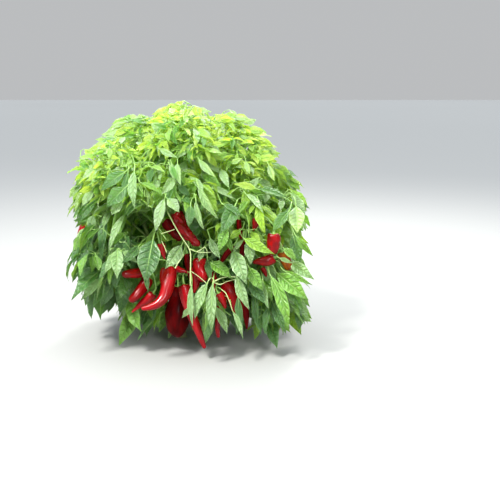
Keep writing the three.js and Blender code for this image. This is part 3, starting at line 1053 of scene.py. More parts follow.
def pepper(path_mm, width, tint, seed, form="spear", wrinkle=0.0, stalk=30, lobes=3,
           shows=False, squash=1.0, detail=1.0):
    r = np.random.default_rng(seed)
    pts0 = catmull(np.asarray(path_mm, float), 60)
    L = length_of(pts0)
    R = width * MM / 2
    # rows: in at the stalk, over the shoulder, then down the body
    a_top = np.array([0.17, 0.08, 0.01, 0.0, 0.05, 0.16, 0.34]) * R
    q_top = np.array([0.06, 0.30, 0.50, 0.64, 0.80, 0.91, 0.975]) * R
    s0 = 0.62 * R / L
    end = float(profile(form, 1.0)) * R  # the tip is a dome of this radius
    s_end = 1 - min(0.5, 0.9 * end / L)
    rows_body = int(26 * detail)
    s_body = np.concatenate([
        np.linspace(s0, s_end, rows_body), s_end + (1 - s_end) * np.sin(np.linspace(0, math.pi / 2, 6))[1:]
    ])
    q_body = profile(form, s_body)
    shoulder = 1.0 if q_body[0] >= 0.8 else float(q_body[0])
    q_body = R * np.minimum(q_body / max(q_body[0], 0.8), 1.0) if shoulder == 1 else R * q_body
    q_top = q_top * shoulder
    Rs = R * shoulder
    q_body = q_body * np.sqrt(np.clip(1 - (np.maximum(s_body - s_end, 0) / (1 - s_end)) ** 2, 0, 1))
    q_body = np.maximum(q_body, 0.0005)
    along = np.concatenate([a_top, s_body * L])
    q = np.concatenate([q_top, q_body])
    run = np.concatenate([[0], np.cumsum(np.linalg.norm(np.diff(pts0, axis=0), axis=1))])
    centre = np.stack([np.interp(along, run, pts0[:, k]) for k in range(3)], 1)
    t0 = unit(pts0[2] - pts0[0])
    t, n, b = frames_along(pts0, first=across([0.3, -1, 0.2], t0))
    nn = np.stack([np.interp(along, run, n[:, k]) for k in range(3)], 1)
    bb = np.stack([np.interp(along, run, b[:, k]) for k in range(3)], 1)
    sides = 26
    ang = np.arange(sides) / sides * 2 * math.pi
    ph = r.uniform(0, 6.28, 8)
    s = (along / L)[:, None]
    A = ang[None, :]
    groove = 0
    for g in range(lobes):
        mid = ph[0] + g * 2 * math.pi / lobes + 0.25 * math.sin(ph[1] + g * 2)
        off = np.angle(np.exp(1j * (A - mid + 0.9 * s)))
        groove = groove + np.exp(-((off / 0.28) ** 2)) * np.exp(-s * 2.6)
    k = 1 - 0.15 * groove + 0.05 * np.cos(lobes * (A - ph[0] + 0.9 * s) + math.pi) * np.exp(-s * 2)
    k = k + 0.045 * np.sin(2 * A + 4 * s + ph[2]) + 0.025 * np.sin(A + 11 * s + ph[3])
    k = k + 0.016 * np.sin(3 * A - 17 * s + ph[4]) + 0.012 * np.sin(4 * A + 23 * s + ph[6])
    if wrinkle:
        k = k - wrinkle * (0.5 + 0.5 * np.sin(30 * s + 2.2 * np.sin(3 * A + ph[5]))) ** 2 * (
            0.5 + 0.5 * np.sin(2 * A + 5 * s))
        k = k - 0.8 * wrinkle * np.exp(-((np.angle(np.exp(1j * (A - ph[1]))) / 0.35) ** 2))
        k = k + 0.5 * wrinkle * np.sin(5 * A + 9 * s + ph[7]) * np.sin(14 * s + ph[2])
    fade = smooth(along, 0, 0.5 * R)[:, None] * 0.85 + 0.15
    k = 1 + (k - 1) * fade
    # the shoulder stands up between the grooves
    lift = (0.10 * R) * np.cos(lobes * (A - ph[0]) + math.pi) * np.exp(-(((q[:, None] / R - 0.75) / 0.3) ** 2)) * (s < 0.2)
    tt = np.stack([np.interp(along, run, t[:, k_]) for k_ in range(3)], 1)
    ring = (
        centre[:, None]
        + (nn[:, None] * np.cos(ang)[None, :, None] + bb[:, None] * np.sin(ang)[None, :, None] * squash)
        * (q[:, None] * k)[:, :, None]
        - tt[:, None] * lift[:, :, None]
    )
    rows = len(along) - 1
    low, size = tile_of(tint)
    u, v = np.meshgrid(np.linspace(0.02, 0.98, sides + 1),
                       np.interp(along, [0, L], [0.03, 0.97]))
    v = v + np.linspace(0, 0.004, len(v))[:, None]
    uv = low + np.stack([u, v], -1) * size
    quads, quv = grid_faces(rows, sides, uv, wrap=True)
    tip = pts0[-1] + tt[-1] * 0.0006
    verts = np.vstack([ring.reshape(-1, 3), centre[0], tip])
    tris, tuv = [], []
    for row, c, vv, flip in ((0, len(verts) - 2, 0.03, True), (rows, len(verts) - 1, 0.97, False)):
        for j in range(sides):
            a_, d_ = row * sides + j, row * sides + (j + 1) % sides
            tris.append([d_, a_, c] if flip else [a_, d_, c])
            tuv.append([low + np.array([0.4, vv]) * size, low + np.array([0.6, vv]) * size,
                        low + np.array([0.5, vv + (-0.01 if flip else 0.01)]) * size])
    fruit.add(verts, quads, quv, tris, np.array(tuv), mat=tint)
    fruit_paths.append((centre[::3], (q * 1.04)[::3] + 0.0005))
    if shows:
        px, depth = pixel(centre)
        for c_, d_, q_ in list(zip(px, depth, q))[4::3]:
            shown_fruit.append((c_[0], c_[1], max(1.2, FOCAL * q_ * 0.92 / d_), d_ - q_ * 0.5))
    # the cap: a small star of green that hugs the shoulder
    cols, rings = 30, 5
    ca = np.arange(cols) / cols * 2 * math.pi
    star = 0.58 * Rs * (1 + 0.20 * np.cos(6 * ca + ph[5]) + 0.07 * np.cos(2 * ca + ph[4]))
    share = np.linspace(0.0, 1.0, rings + 1)[:, None]
    rad = 0.13 * Rs + (star[None, :] - 0.13 * Rs) * share
    aa = np.interp(rad.ravel(), q_top, a_top).reshape(rad.shape)
    lift_c = (0.10 * R) * np.cos(lobes * (ca - ph[0]) + math.pi)[None] * np.exp(-(((rad / Rs - 0.75) / 0.3) ** 2))
    down = aa - lift_c - 0.0012 * (1 - share**3) - 0.0004
    cap = (
        pts0[0]
        + t0 * down[..., None]
        + (nn[0] * np.cos(ca)[None, :, None] + bb[0] * np.sin(ca)[None, :, None] * squash) * rad[..., None]
    )
    u, v = np.meshgrid(np.linspace(0.02, 0.98, cols + 1), np.linspace(0.5, 0.98, rings + 1))
    low0, size0 = tile_of(0)
    quads, quv = grid_faces(rings, cols, low0 + np.stack([u, v], -1) * size0, wrap=True, flip=True)
    caps.add(cap.reshape(-1, 3), quads, quv)
    # the stalk
    top = pts0[0] - t0 * stalk * 0.55 * MM + (UP - t0 * 0.3) * stalk * 0.42 * MM
    tw = join_on(top, 0.0019, seed + 5)
    tt_ = np.linspace(0, 1, 13)[:, None]
    start = pts0[0] + t0 * 0.10 * R
    c1 = pts0[0] - t0 * stalk * 0.50 * MM
    c2 = top - tw * -0.004 - UP * 0.004
    sp = (1 - tt_) ** 3 * start + 3 * (1 - tt_) ** 2 * tt_ * c1 + 3 * (1 - tt_) * tt_**2 * c2 + tt_**3 * top
    s_ = np.linspace(0, 1, 13)
    sr = 0.0024 + (0.17 * Rs + 0.0012) * np.exp(-s_ / 0.13) + 0.0007 * np.exp(-(((s_ - 1) / 0.08) ** 2))
    tube(caps, sp, sr, 10, mat=0, tile=0,
         shape=lambda a, s: 1 + 0.07 * np.cos(5 * a + ph[2]) + 0.03 * np.sin(9 * s))
    return pts0


# the deep and dark skins are darker red fruit, and also painted shade on peppers that hang in shadow
RED, DEEP_AND_SHADED, DARK_AND_SHADED, TURN = 0, 1, 2, 3


def seen(*pts):
    return [at(*p) for p in pts]


# Peppers that show in the picture: places along each one from its shoulder to
# its tip, as picture x, picture y and depth in millimetres.
pepper(seen((146, 271, -188), (139.5, 272.6, -202), (131, 273.8, -216), (122, 274.2, -230)),
       30, DEEP_AND_SHADED, 1, "tube", shows=True)
pepper(seen((148, 278, -176), (142.8, 287, -196), (136.8, 294.6, -214), (129.8, 301.8, -228)),
       35, DEEP_AND_SHADED, 2, "tube", shows=True)
pepper(seen((168.2, 268.6, -196), (168.4, 278.5, -213), (166.9, 288.8, -230), (163.2, 297.8, -245),
            (157, 304.0, -256), (149.4, 307.2, -262), (141.2, 308.6, -265)), 46, RED, 3, "horn",
       shows=True, stalk=20, detail=1.5)
pepper(seen((152.8, 293.2, -194), (149.4, 297.2, -198), (145.4, 300.8, -203), (140.8, 304.4, -208),
            (136.2, 308.4, -213), (131.8, 312.4, -218)), 28, RED, 4, "spear", shows=True, stalk=20)
pepper(seen((178.5, 286, -128), (178.6, 299, -131), (177.6, 312, -134), (177.2, 325, -136),
               (178.2, 337.6, -136)), 78, DARK_AND_SHADED, 5, "heart", shows=True, squash=0.9, detail=1.3)
pepper(seen((184, 285.2, -176), (186, 296.8, -188), (189.2, 307.6, -200), (193.0, 318.2, -209),
            (197.0, 328, -214), (200.9, 338, -216), (205, 348.4, -216)), 36, RED, 6, "slim",
       shows=True, detail=1.3)
pepper(seen((199.8, 259.2, -172), (200.2, 266.5, -182), (201.6, 274, -194), (204.6, 281.6, -204)),
       45, RED, 7, "tube", shows=True, stalk=22)
pepper(seen((195.0, 267, -164), (195.9, 276, -166), (195.8, 285, -170), (193.9, 293.2, -175)),
       28, RED, 8, "egg", shows=True)
pepper(seen((225.0, 283.4, -166), (229.8, 291, -178), (233.6, 301, -188), (235.4, 315, -196)),
       41, DEEP_AND_SHADED, 9, "egg", shows=True)
pepper(seen((218.6, 293.4, -206), (221.2, 297.6, -208), (223.6, 302.6, -210), (225.4, 308.6, -211)),
       23, RED, 10, "egg", shows=True, stalk=18)
pepper(seen((220.4, 305, -186), (219.6, 312.5, -188), (218.2, 321, -190), (217.4, 329, -191),
            (218.4, 337.6, -191)), 18, RED, 11, "tube", shows=True)
pepper(seen((240.0, 294, -176), (243.8, 305, -180), (246.4, 317, -183), (246.8, 329, -185)),
       31, DARK_AND_SHADED, 12, "spear", shows=True)
pepper(seen((176.4, 212.4, -198), (180.1, 221.8, -201), (185.8, 231.6, -204), (191.8, 238.4, -207),
            (199.8, 245.6, -210)), 34, DEEP_AND_SHADED, 13, "tube", wrinkle=0.34, shows=True, detail=1.6)
pepper(seen((165.6, 220.8, -170), (170.4, 227.6, -177), (175.2, 233.8, -183), (180.6, 240.6, -188)),
       31, DARK_AND_SHADED, 14, "tube", wrinkle=0.10, shows=True)
pepper(seen((160.2, 243.4, -176), (161.8, 248, -178), (163.2, 253, -180), (165, 260, -183)),
       24, RED, 15, "spear", shows=True)
pepper(seen((186.8, 253.6, -164), (187.8, 262, -166), (188.8, 271, -168), (189.8, 280, -170)),
       21, DARK_AND_SHADED, 16, "spear", shows=True)
pepper(seen((175.8, 268.4, -176), (179.6, 269.9, -178), (184.4, 271.2, -180), (189.6, 273.6, -183)),
       17, DEEP_AND_SHADED, 17, "spear", shows=True, stalk=18)
pepper(seen((233.8, 245.6, -186), (229.6, 250.2, -188), (225.4, 255.6, -190), (220.6, 262.4, -192)),
       16, DARK_AND_SHADED, 18, "tube", shows=True)
pepper(seen((273.8, 233.6, -226), (273.6, 240.6, -228), (273.0, 247.6, -229), (272.0, 255.0, -230)),
       38, DEEP_AND_SHADED, 19, "tube", shows=True, stalk=20)
pepper(seen((273.8, 258.2, -206), (268.4, 260.4, -210), (261.4, 261.2, -214), (252.8, 262.4, -218)),
       31, DEEP_AND_SHADED, 22, "egg", shows=True)
pepper(seen((238.6, 219.4, -200), (239.2, 226, -202), (240.2, 232.4, -203), (241.4, 239.0, -204)),
       14, DARK_AND_SHADED, 20, "tube", stalk=18, shows=True)
pepper(seen((257.0, 218.4, -200), (256.0, 222.4, -202), (254.9, 226.2, -203), (253.6, 230.6, -204)),
       22, DEEP_AND_SHADED, 21, "egg", shows=True, stalk=20)
pepper(seen((282.0, 252.0, -206), (284.8, 258.4, -210), (287.2, 264.4, -213), (289.4, 270.4, -215)),
       34, TURN, 23, "block", shows=True, stalk=20)
pepper(seen((243.8, 239.6, -206), (243.4, 246, -209), (242.6, 252, -212), (241.4, 258.4, -214)),
       24, DARK_AND_SHADED, 24, "block", shows=True, stalk=18)
pepper(seen((212.4, 271.6, -186), (213.8, 278, -188), (214.8, 284.6, -190), (215.2, 291.4, -191)),
       20, DEEP_AND_SHADED, 25, "spear", shows=True, stalk=18)
pepper(seen((262.4, 267.4, -196), (264.2, 270.8, -199), (265.6, 273.8, -201), (266.6, 277.0, -203)),
       14, DEEP_AND_SHADED, 26, "egg", shows=True, stalk=18)

# Peppers round the rest of the plant, hung the same way in ones and twos under
# and among the outer leaves: x, y, z of the joint in millimetres, and how many.
ROUND = [
    (296, 66, 350, 2), (296, 118, 306, 1), (206, 226, 350, 2), (66, 268, 300, 1),
    (-98, 246, 342, 2), (-232, 168, 308, 1), (-282, 14, 350, 2), (-206, 88, 250, 1),
    (262, -34, 232, 1), (-4, 246, 196, 1), (128, 206, 214, 1), (98, 12, 268, 1),
    (-62, 60, 272, 1), (236, 60, 246, 1), (-150, 214, 206, 1),
]
r_hang = np.random.default_rng(311)
turn = 0
for x, y, z, many in ROUND:
    out = unit(np.array([x - 30.0, y - 10.0, 0.0]))
    for k in range(many):
        turn += 1
        sideways = np.cross(UP, out)
        length = r_hang.uniform(96, 164)
        a = np.array([x, y, z], float) + sideways * (k - (many - 1) / 2) * 46
        a = a + out * r_hang.uniform(-10, 8) + UP * r_hang.uniform(-16, 8)
        lean = out * r_hang.uniform(-0.02, 0.30) + sideways * (
            r_hang.uniform(-0.22, 0.22) + (k - (many - 1) / 2) * 0.35)
        go = unit(-UP + lean)
        c = a + go * length
        bow = (out * r_hang.uniform(-4, 12) + sideways * r_hang.uniform(-14, 14)) * length / 130
        form = ("horn", "spear", "slim", "egg", "spear")[turn % 5]
        wide = {"horn": 42, "spear": 35, "slim": 34, "egg": 38}[form] * r_hang.uniform(0.86, 1.1)
        tint = (RED, DEEP_AND_SHADED, RED, RED, DARK_AND_SHADED, RED, DEEP_AND_SHADED, RED, TURN, RED, DEEP_AND_SHADED)[turn % 11]
        a, c, bow = a * MM, c * MM, bow * MM
        pepper([a, a + (c - a) * 0.3 + bow * 0.8, a + (c - a) * 0.65 + bow, c + (out * 0.06 * length) * MM],
               wide, tint, 60 + turn, form, wrinkle=0.06 * (turn % 4 == 1), detail=0.8)

# ---------------------------------------------------- leaves seen in the picture
# Base and tip as picture x, y; width in picture pixels; roll about its own
# length in degrees; tint; and where it has no crown behind it, its depth.
# the pale tint is a whitish green with paler patches: painted sheen, standing in for the sky's reflection on the leaves
T_LIME, T_FRESH, T_GREEN, T_PALE_SHEEN = 0, 1, 2, 3
SHOWN = [
    # bx, by, tx, ty, width, roll, tint, zone, (depth of base, of tip) or None, bow
    (153.0, 239.5, 145.8, 282.5, 25, 8, T_GREEN, 0, (-222, -246)),
    (150.5, 262, 149.6, 294, 9, 50, T_GREEN, 0, (-196, -206)),
    (181.5, 245.5, 165.2, 268.5, 15, -20, T_PALE_SHEEN, 0, (-214, -232)),
    (191.8, 285, 193.4, 325.5, 7, 30, T_PALE_SHEEN, 0, (-236, -246)),
    (207.5, 283, 195.4, 319.5, 12, 30, T_PALE_SHEEN, 0, (-226, -240)),
    (192.5, 308, 182.4, 318.0, 8, 20, T_PALE_SHEEN, 0, (-222, -232)),
    (212.0, 300, 201.0, 307.5, 8, -10, T_FRESH, 0, (-200, -214)),
    (212.9, 283, 212.4, 333.5, 12, 18, T_PALE_SHEEN, 0, (-228, -246)),
    (214.8, 297, 225.0, 314.5, 8, -30, T_FRESH, 0, (-190, -202)),
    (216.0, 307, 226.8, 333.5, 11, -12, T_PALE_SHEEN, 0, (-208, -226)),
    (232.6, 311, 242.4, 339.0, 7, -25, T_PALE_SHEEN, 0, (-238, -250)),
    (238.0, 297, 243.6, 326.5, 8, 30, T_GREEN, 0, (-214, -226)),
    (233.6, 250.5, 246.6, 284, 17, 12, T_PALE_SHEEN, 0, (-236, -256)),
    (236.6, 276, 249.8, 309.6, 12, 25, T_PALE_SHEEN, 0, (-226, -250)),
    (249.0, 267.5, 263.0, 291.0, 13, 15, T_FRESH, 0, (-232, -250)),
    (249.5, 281, 267.0, 304.5, 12, 15, T_GREEN, 0, (-218, -230)),
    (270.5, 275.5, 289.0, 331.0, 14, 22, T_FRESH, 0, (-236, -252), -0.7),
    (277.0, 273, 308.0, 299.5, 18, 12, T_FRESH, 0, (-222, -236)),
    (287.5, 283, 303.4, 309.5, 11, 22, T_GREEN, 0, (-206, -216)),
    (273.0, 303, 285.0, 331.5, 11, 10, T_GREEN, 0, (-206, -218)),
    (289.0, 261.5, 314.0, 279.5, 13, 10, T_PALE_SHEEN, 0, (-208, -216)),
    (284.0, 270.5, 312.5, 285.0, 7, 20, T_FRESH, 0, (-226, -232)),
    (296.0, 236.0, 313.5, 256.5, 8, 20, T_FRESH, 0, (-150, -160)),
    (279.4, 258.0, 292.6, 263.4, 5, 10, T_PALE_SHEEN, 0, (-240, -246)),
    (283.5, 248.0, 296.0, 261.0, 9, -10, T_FRESH, 0, (-232, -242)),
    (293.0, 235.0, 300.5, 263.5, 14, 5, T_GREEN, 0, (-120, -140)),
    (244.0, 238.5, 274.5, 254.5, 11, 5, T_LIME, 0, (-250, -268), 0.25),
    (296.0, 206.5, 297.2, 233.0, 18, 0, T_PALE_SHEEN, 2, (-124, -150)),
    (258.5, 203, 266.0, 234, 10, 35, T_LIME, 1, None),
    (198.5, 185.5, 218.8, 218.3, 9, 45, T_PALE_SHEEN, 1, None),
    (196.0, 201, 204.6, 229.5, 8, 45, T_PALE_SHEEN, 1, None),
    (164.6, 198.5, 155.8, 231.5, 11, 12, T_PALE_SHEEN, 2, None),
    (167.5, 199, 179.0, 212.5, 12, -12, T_PALE_SHEEN, 2, None),
    (134.5, 171, 135.6, 208.5, 10, 35, T_PALE_SHEEN, 0, None),
    (125.5, 171.5, 101.0, 191.5, 14, 15, T_GREEN, 1, None),
    (128.0, 172, 127.0, 198.5, 8, 40, T_GREEN, 1, None),
    (126.0, 213.5, 109.6, 252.5, 9, 35, T_PALE_SHEEN, 1, None),
    (107.0, 212, 102.5, 262, 11, 25, T_GREEN, 0, None),
    (190.5, 205.5, 188.4, 227, 10, -10, T_GREEN, 1, None),
    (152.5, 229, 131.0, 235.5, 9, -40, T_GREEN, 0, None),
    (209.8, 237.5, 220.5, 258.5, 8, 30, T_PALE_SHEEN, 0, None),
    (228.0, 229, 219.0, 251.5, 11, 10, T_FRESH, 0, None),
    (226.5, 238, 231.5, 252, 7, -15, T_FRESH, 0, (-226, -236)),
    (256.0, 290, 258.5, 329.0, 8, 30, T_GREEN, 0, (-196, -206)),
    (263.0, 282, 269.0, 309, 8, 28, T_PALE_SHEEN, 0, (-224, -238)),
    (270.0, 304, 265.5, 335.5, 8, 30, T_GREEN, 0, (-198, -208)),
    (210.0, 262, 231.5, 278.5, 14, -8, T_FRESH, 0, (-206, -224)),
    (207.6, 258, 211.5, 281, 8, 20, T_GREEN, 0, (-196, -206)),
    (141.5, 183, 160.0, 194, 8, -25, T_FRESH, 1, None),
    (126.0, 187, 107.0, 207, 16, 0, T_GREEN, 1, None),
    (122.5, 200.5, 111.5, 215.0, 11, 5, T_PALE_SHEEN, 1, None),
    (109.5, 212, 103.0, 229, 8, 15, T_PALE_SHEEN, 0, None),
    (160.0, 149, 178.0, 157.5, 6, 30, T_PALE_SHEEN, 2, None),
    (177.5, 163.5, 181.5, 185.5, 8, 38, T_PALE_SHEEN, 2, None),
    (150.5, 167, 165.5, 172.8, 6, -20, T_FRESH, 2, None),
    (172.0, 166, 177.0, 180, 6, 20, T_GREEN, 2, None),
    (199.0, 159.5, 216.5, 177.2, 7, 35, T_PALE_SHEEN, 2, None),
    (231.5, 163, 243.0, 158, 6, 20, T_PALE_SHEEN, 2, None),
    (246.0, 161.5, 250.0, 174.5, 6, 25, T_PALE_SHEEN, 2, None),
    (221.0, 169.5, 229.5, 189, 9, 10, T_PALE_SHEEN, 2, None),
    (255.5, 188.5, 233.0, 184, 8, 0, T_LIME, 2, None),
    (246.0, 194, 262.5, 213.5, 8, -35, T_PALE_SHEEN, 1, None),
    (258.5, 189.5, 286.0, 198.5, 9, -30, T_GREEN, 1, None),
    (223.5, 204.5, 242.0, 217, 8, -20, T_GREEN, 1, None),
    (268.5, 165, 274.5, 181, 7, 15, T_PALE_SHEEN, 2, None),
    (249.0, 239.5, 251.0, 264.5, 12, 5, T_PALE_SHEEN, 0, (-222, -240)),
    (243.4, 240.0, 233.6, 252.4, 6, 20, T_PALE_SHEEN, 1, (-238, -248)),
    (240.5, 230.5, 229.5, 239.5, 8, 5, T_LIME, 1, (-222, -232)),
    (203.5, 249.5, 199.0, 261.5, 7, 10, T_PALE_SHEEN, 0, (-214, -226)),
    (288.5, 211.5, 272.6, 232.6, 12, 10, T_GREEN, 1, (-226, -240)),
    (235.0, 206, 221.0, 233, 16, -8, T_GREEN, 1, None),
    (138.5, 246.5, 121.5, 263.5, 10, -20, T_GREEN, 0, None),
]
hero_bases = []
for i, (bx, by, tx, ty, wpx, roll, tint, zone, depth, *bow) in enumerate(SHOWN):
    if depth is None:
        a, c = crown_hit(bx, by), crown_hit(tx, ty)
        ya = -230.0 if a is None else a[1] / MM - 4
        yc = (ya if c is None else c[1] / MM) - 16
        yc = min(yc, ya - 6)
        yc = max(yc, ya - 45)
    else:
        # the tip leans out from the crown, so that the face looks up a little
        ya, yc = depth
        lean = min(0.36 * 2.75 * math.hypot(tx - bx, ty - by), 38)
        yc = max(min(yc, ya - lean), -300)
    base, tip = at(bx, by, ya), at(tx, ty, yc)
    chord = np.linalg.norm(tip - base)
    way = unit(tip - base)
    to_cam = unit(CAM - base)
    face = across(to_cam + UP * 0.35, way)
    face = turned(face, way, math.radians(roll))
    bend = 0.55
    L = chord * 1.03
    W = wpx * MM * 2.70 * (1.0 if abs(roll) < 30 else 1.15)
    axis = turned(way, np.cross(face, way), -bend * 0.5)
    sway = bow[0] if bow else 0.0
    axis = turned(axis, face, -0.5 * sway)
    out_back = unit(np.array([0.12 * np.sign(-way[0]), 0.95, 0.34 if depth else 0.12]))
    root = base + out_back * (0.030 + 0.12 * L) - way * 0.010
    place_leaf(root, unit(-out_back + UP * 0.35), base, axis, face, L, W, zone, tint,
               900 + i, bend=bend, sway=sway, fold=0.55, curl=0.14, wave=0.035, quilt=0.045, hero=True)
    hero_bases.append((root, out_back))
    for share in np.linspace(0.2, 0.85, 7):
        (mx, my), depth = pixel(base + (tip - base) * share)
        shown_fruit.append((mx, my, 0.30 * wpx, depth - 0.006))
for i, (root, out_back) in enumerate(hero_bases):
    w, rw, d = wood_near(root, keep_above=False)
    if d > 0.004:
        join_on(root, 0.0012, 1500 + i)

# pale stalks that show in front, as picture x, y and depth along each one
for i, (pts, r0, r1) in enumerate([
    ([(167.4, 211.5, -214), (170.6, 218, -219), (176, 228, -224), (182, 237.8, -228),
      (187.4, 245.6, -231), (190.2, 251.5, -233), (190.7, 262, -235), (190.4, 274, -237),
      (190.5, 286.4, -238)], 1.55, 1.65),
    ([(189.2, 248.8, -231), (196, 251.6, -230), (205, 252.6, -229), (215, 251.6, -229)], 1.15, 0.9),
    ([(196.5, 251.8, -230), (201.5, 249.2, -232), (204.5, 247.2, -234), (207.6, 251.6, -236)], 1.2, 0.9),
    ([(191.4, 271.6, -222), (197.5, 275.6, -222), (203.5, 280.6, -222), (206.8, 283.6, -224)], 1.1, 0.9),
    ([(214.8, 281.6, -214), (211.4, 277.6, -218), (208.6, 280.4, -222), (207.2, 284.6, -225)], 1.7, 1.2),
    ([(212.9, 282.2, -216), (219, 279, -220), (226.4, 276.8, -223), (235.6, 277, -226)], 1.8, 1.1),
    ([(212.9, 282.2, -216), (220, 284.4, -214), (227, 281.4, -216), (236.4, 279.0, -222)], 1.6, 1.0),
    ([(212.9, 282.2, -216), (213.4, 288, -220), (213.2, 296, -226)], 1.5, 1.1),
    ([(221.6, 289.6, -216), (225.6, 293.0, -226), (229, 300.4, -234), (232.6, 311, -238)], 1.2, 0.9),
    ([(161.2, 233.6, -205), (167.4, 231.8, -214), (174.4, 229.4, -222)], 1.5, 1.2),
    ([(161.6, 241, -190), (164.6, 247, -196), (166.6, 252.6, -200)], 1.4, 1.2),
    ([(183.6, 254.6, -190), (180.6, 259.4, -196), (177, 264.6, -204), (175.2, 268.4, -210)], 1.5, 1.4),
]):
    p = catmull(seen(*pts), 22)
    tube(stalks[0], p, np.linspace(r0, r1, 23) * MM, 8, mat=1, tile=1, shape=fork_shape)
    join_on(p[0], r0 * MM, 1600 + i)

# Hollows between the leaves, as picture x, y, reach and the depth they go to.
for x, y, reach, deep in [
    (142, 221, 7, -110), (133, 227, 5, -110), (147, 215, 4, -120), (210, 231, 4.5, -110),
    (206, 247, 4.5, -110), (239, 227, 3, -120), (160, 265, 3, -140), (155, 284, 3, -150),
    (170, 303, 3, -120), (191, 274, 2.5, -130), (228, 318, 5, -140), (248, 320, 4, -120),
    (247, 303, 3, -140), (181, 250, 3, -130), (224, 244, 2.5, -150), (133, 219, 4, -120),
    (217, 256, 3, -130), (175, 246, 4, -130), (187, 230, 3, -130),
]:
    (mx, my), depth = pixel(at(x, y, deep))
    shown_fruit.append((mx, my, reach, depth))

# Leaves in the shade round the stem, on side twigs of their own.
r_shade = np.random.default_rng(77)
shade = 0
for p in r_shade.uniform((-0.26, -0.25, 0.10), (0.30, 0.26, 0.62), (5200, 3)):
    e = (p - np.array([0.03, 0.01, 0.34])) / np.array([0.25, 0.23, 0.27])
    if e @ e > 1.15 or np.min(np.linalg.norm(np.array(taken) - p, axis=1)) < 0.050:
        continue
    if p[2] < 0.26 and p[1] < -0.10 and p[0] < 0.06:
        continue
    _, _, d = wood_near(p)
    if d < 0.012 or d > 0.16:
        continue
    if hides_fruit(p[None]):
        continue
    taken.append(p)
    tw = join_on(p, 0.0012, 2200 + shade, sides=5)
    shade += 1
    leaf_sites.append((p, tw, unit(p - AXIS_AT), 0 if p[2] < 0.30 else 1, "inner", 1.0))
print("shade sites", shade)

# ----------------------------------------------------------- leaves by rule
GOLD = math.radians(137.5)
TINTS = {0: [0.12, 0.34, 0.34, 0.20], 1: [0.20, 0.36, 0.24, 0.20], 2: [0.40, 0.30, 0.10, 0.20]}
leaf_seed = 5000


def in_shade(q):
    return q[0] < -0.13 and q[2] < 0.36


def dress(site):
    """Puts a site's leaves on."""
    global leaf_seed
    q, way, nn, zone, kind, scale = site
    rule = RULE[zone]
    out_h = np.array([nn[0], nn[1], 0.0])
    if np.linalg.norm(out_h) < 0.2:
        out_h = np.array([q[0] - AXIS_AT[0], q[1] - AXIS_AT[1], 0.0])
    out_h = unit(out_h)
    a0 = rng.uniform(0, 2 * math.pi)
    shares = np.array(TINTS[zone])
    if q[0] < -0.07:  # the left flank is the bluer one
        shares = shares * (0.45, 0.85, 1.35, 1.7)
    if in_shade(q):  # and darkest low down
        shares = shares * (0.3, 0.5, 2.2, 0.4)
    shares = shares / shares.sum()
    spray = rng.choice(4, p=shares)
    count = {"tip": rule["leaves"], "inner": 5, "fill": 4}.get(kind, 1)
    for k in range(count):
        leaf_seed += 1
        az = a0 + k * GOLD
        h = np.array([math.cos(az), math.sin(az), 0.0])
        if kind == "tip":
            if h @ out_h < -0.55 and k > 2:
                h = turned(h, UP, math.pi * 0.8)
            h = unit(h + out_h * (0.55 if zone < 2 else 0.35))
        else:
            h = unit(h + out_h * 0.6)
        age = 1.0 if kind != "tip" else min(1.0, 0.42 + 0.15 * k)
        L = rng.uniform(*rule["blade"]) * MM * age
        if kind == "inner":
            L = rng.uniform(*((0.085, 0.130), (0.075, 0.115), (0.060, 0.095))[zone])
        elif kind == "fill":
            L = rng.uniform(*((0.048, 0.078), (0.044, 0.070), (0.032, 0.054))[zone])
        W = L * rng.uniform(*((0.35, 0.46), (0.33, 0.45), (0.32, 0.44))[zone])
        back = 0.0 if kind in ("way", "fork") else 0.002 + 0.0085 * k
        root = q - way * back
        lift = math.radians(rng.uniform(25, 60) if kind == "tip" else rng.uniform(5, 40))
        pet = L * rng.uniform(0.24, 0.40) + 0.004
        pway = unit(h * math.cos(lift) + UP * math.sin(lift) + way * 0.3)
        if zone == 2:
            e0 = rng.uniform(-40, 22) + (1 - age) * 25
        elif zone == 1:
            e0 = rng.uniform(-60, -10) + (1 - age) * 25
        else:
            e0 = rng.uniform(-70, -22) + (1 - age) * 25
        e0 = math.radians(e0)
        hb = unit(h + 0.25 * rng.normal() * np.cross(UP, h))
        axis = unit(hb * math.cos(e0) + UP * math.sin(e0))
        base = root + pway * pet * 0.86 - UP * pet * 0.12 * max(0, -math.sin(e0))
        face = across(UP * 0.9 + hb * 0.5, axis)
        face = turned(face, axis, rng.normal() * (0.46, 0.60, 0.75)[zone])
        tint = spray if rng.random() < 0.7 else rng.choice(4, p=shares)
        if kind == "tip" and k < 2 and not in_shade(q):
            tint = T_LIME
        place_leaf(
            root, pway, base, axis, face, L, W, zone, int(tint), leaf_seed,
            bend=rng.uniform(0.25, 0.80) + 0.2 * (zone == 2), sway=rng.normal() * (0.16, 0.18, 0.28)[zone],
            twist=rng.normal() * (0.38, 0.42, 0.60)[zone], fold=rng.uniform(0.20, 0.75) + 0.15 * (zone == 2),
            curl=rng.uniform(0.05, 0.22), wave=rng.uniform(0.015, 0.05),
            quilt=rng.uniform(0.03, 0.055),
            fine=0 if kind in ("inner", "fill") or L < 0.050 else 2 if L > 0.100 else 1,
        )


for site in leaf_sites:
    dress(site)
print("leaves", placed, "dropped", dropped)

# Where a line of sight still passes clean through the crown, a side twig with a
# few more leaves grows into it.
VIEWS = [(0, 3), (45, 3), (90, 3), (135, 3), (45, 25), (225, 15), (0, 20), (90, 20),
         (135, 20), (315, 20), (0, 60), (180, 60)]
sights = []
for az_, el_ in VIEWS:
    az_, el_ = math.radians(az_), math.radians(el_)
    sights.append(np.array([-math.sin(az_) * math.cos(el_), math.cos(az_) * math.cos(el_),
                            -math.sin(el_)]))
r_fill = np.random.default_rng(404)


def fill_at(p, zone, seed):
    """A side twig to p with a few leaves, if they find room."""
    return join_on(
        p, 0.0012, seed, sides=5,
        leafy=lambda way: dress((p, way, unit(p - AXIS_AT), zone, "fill", 1.0))) is not None


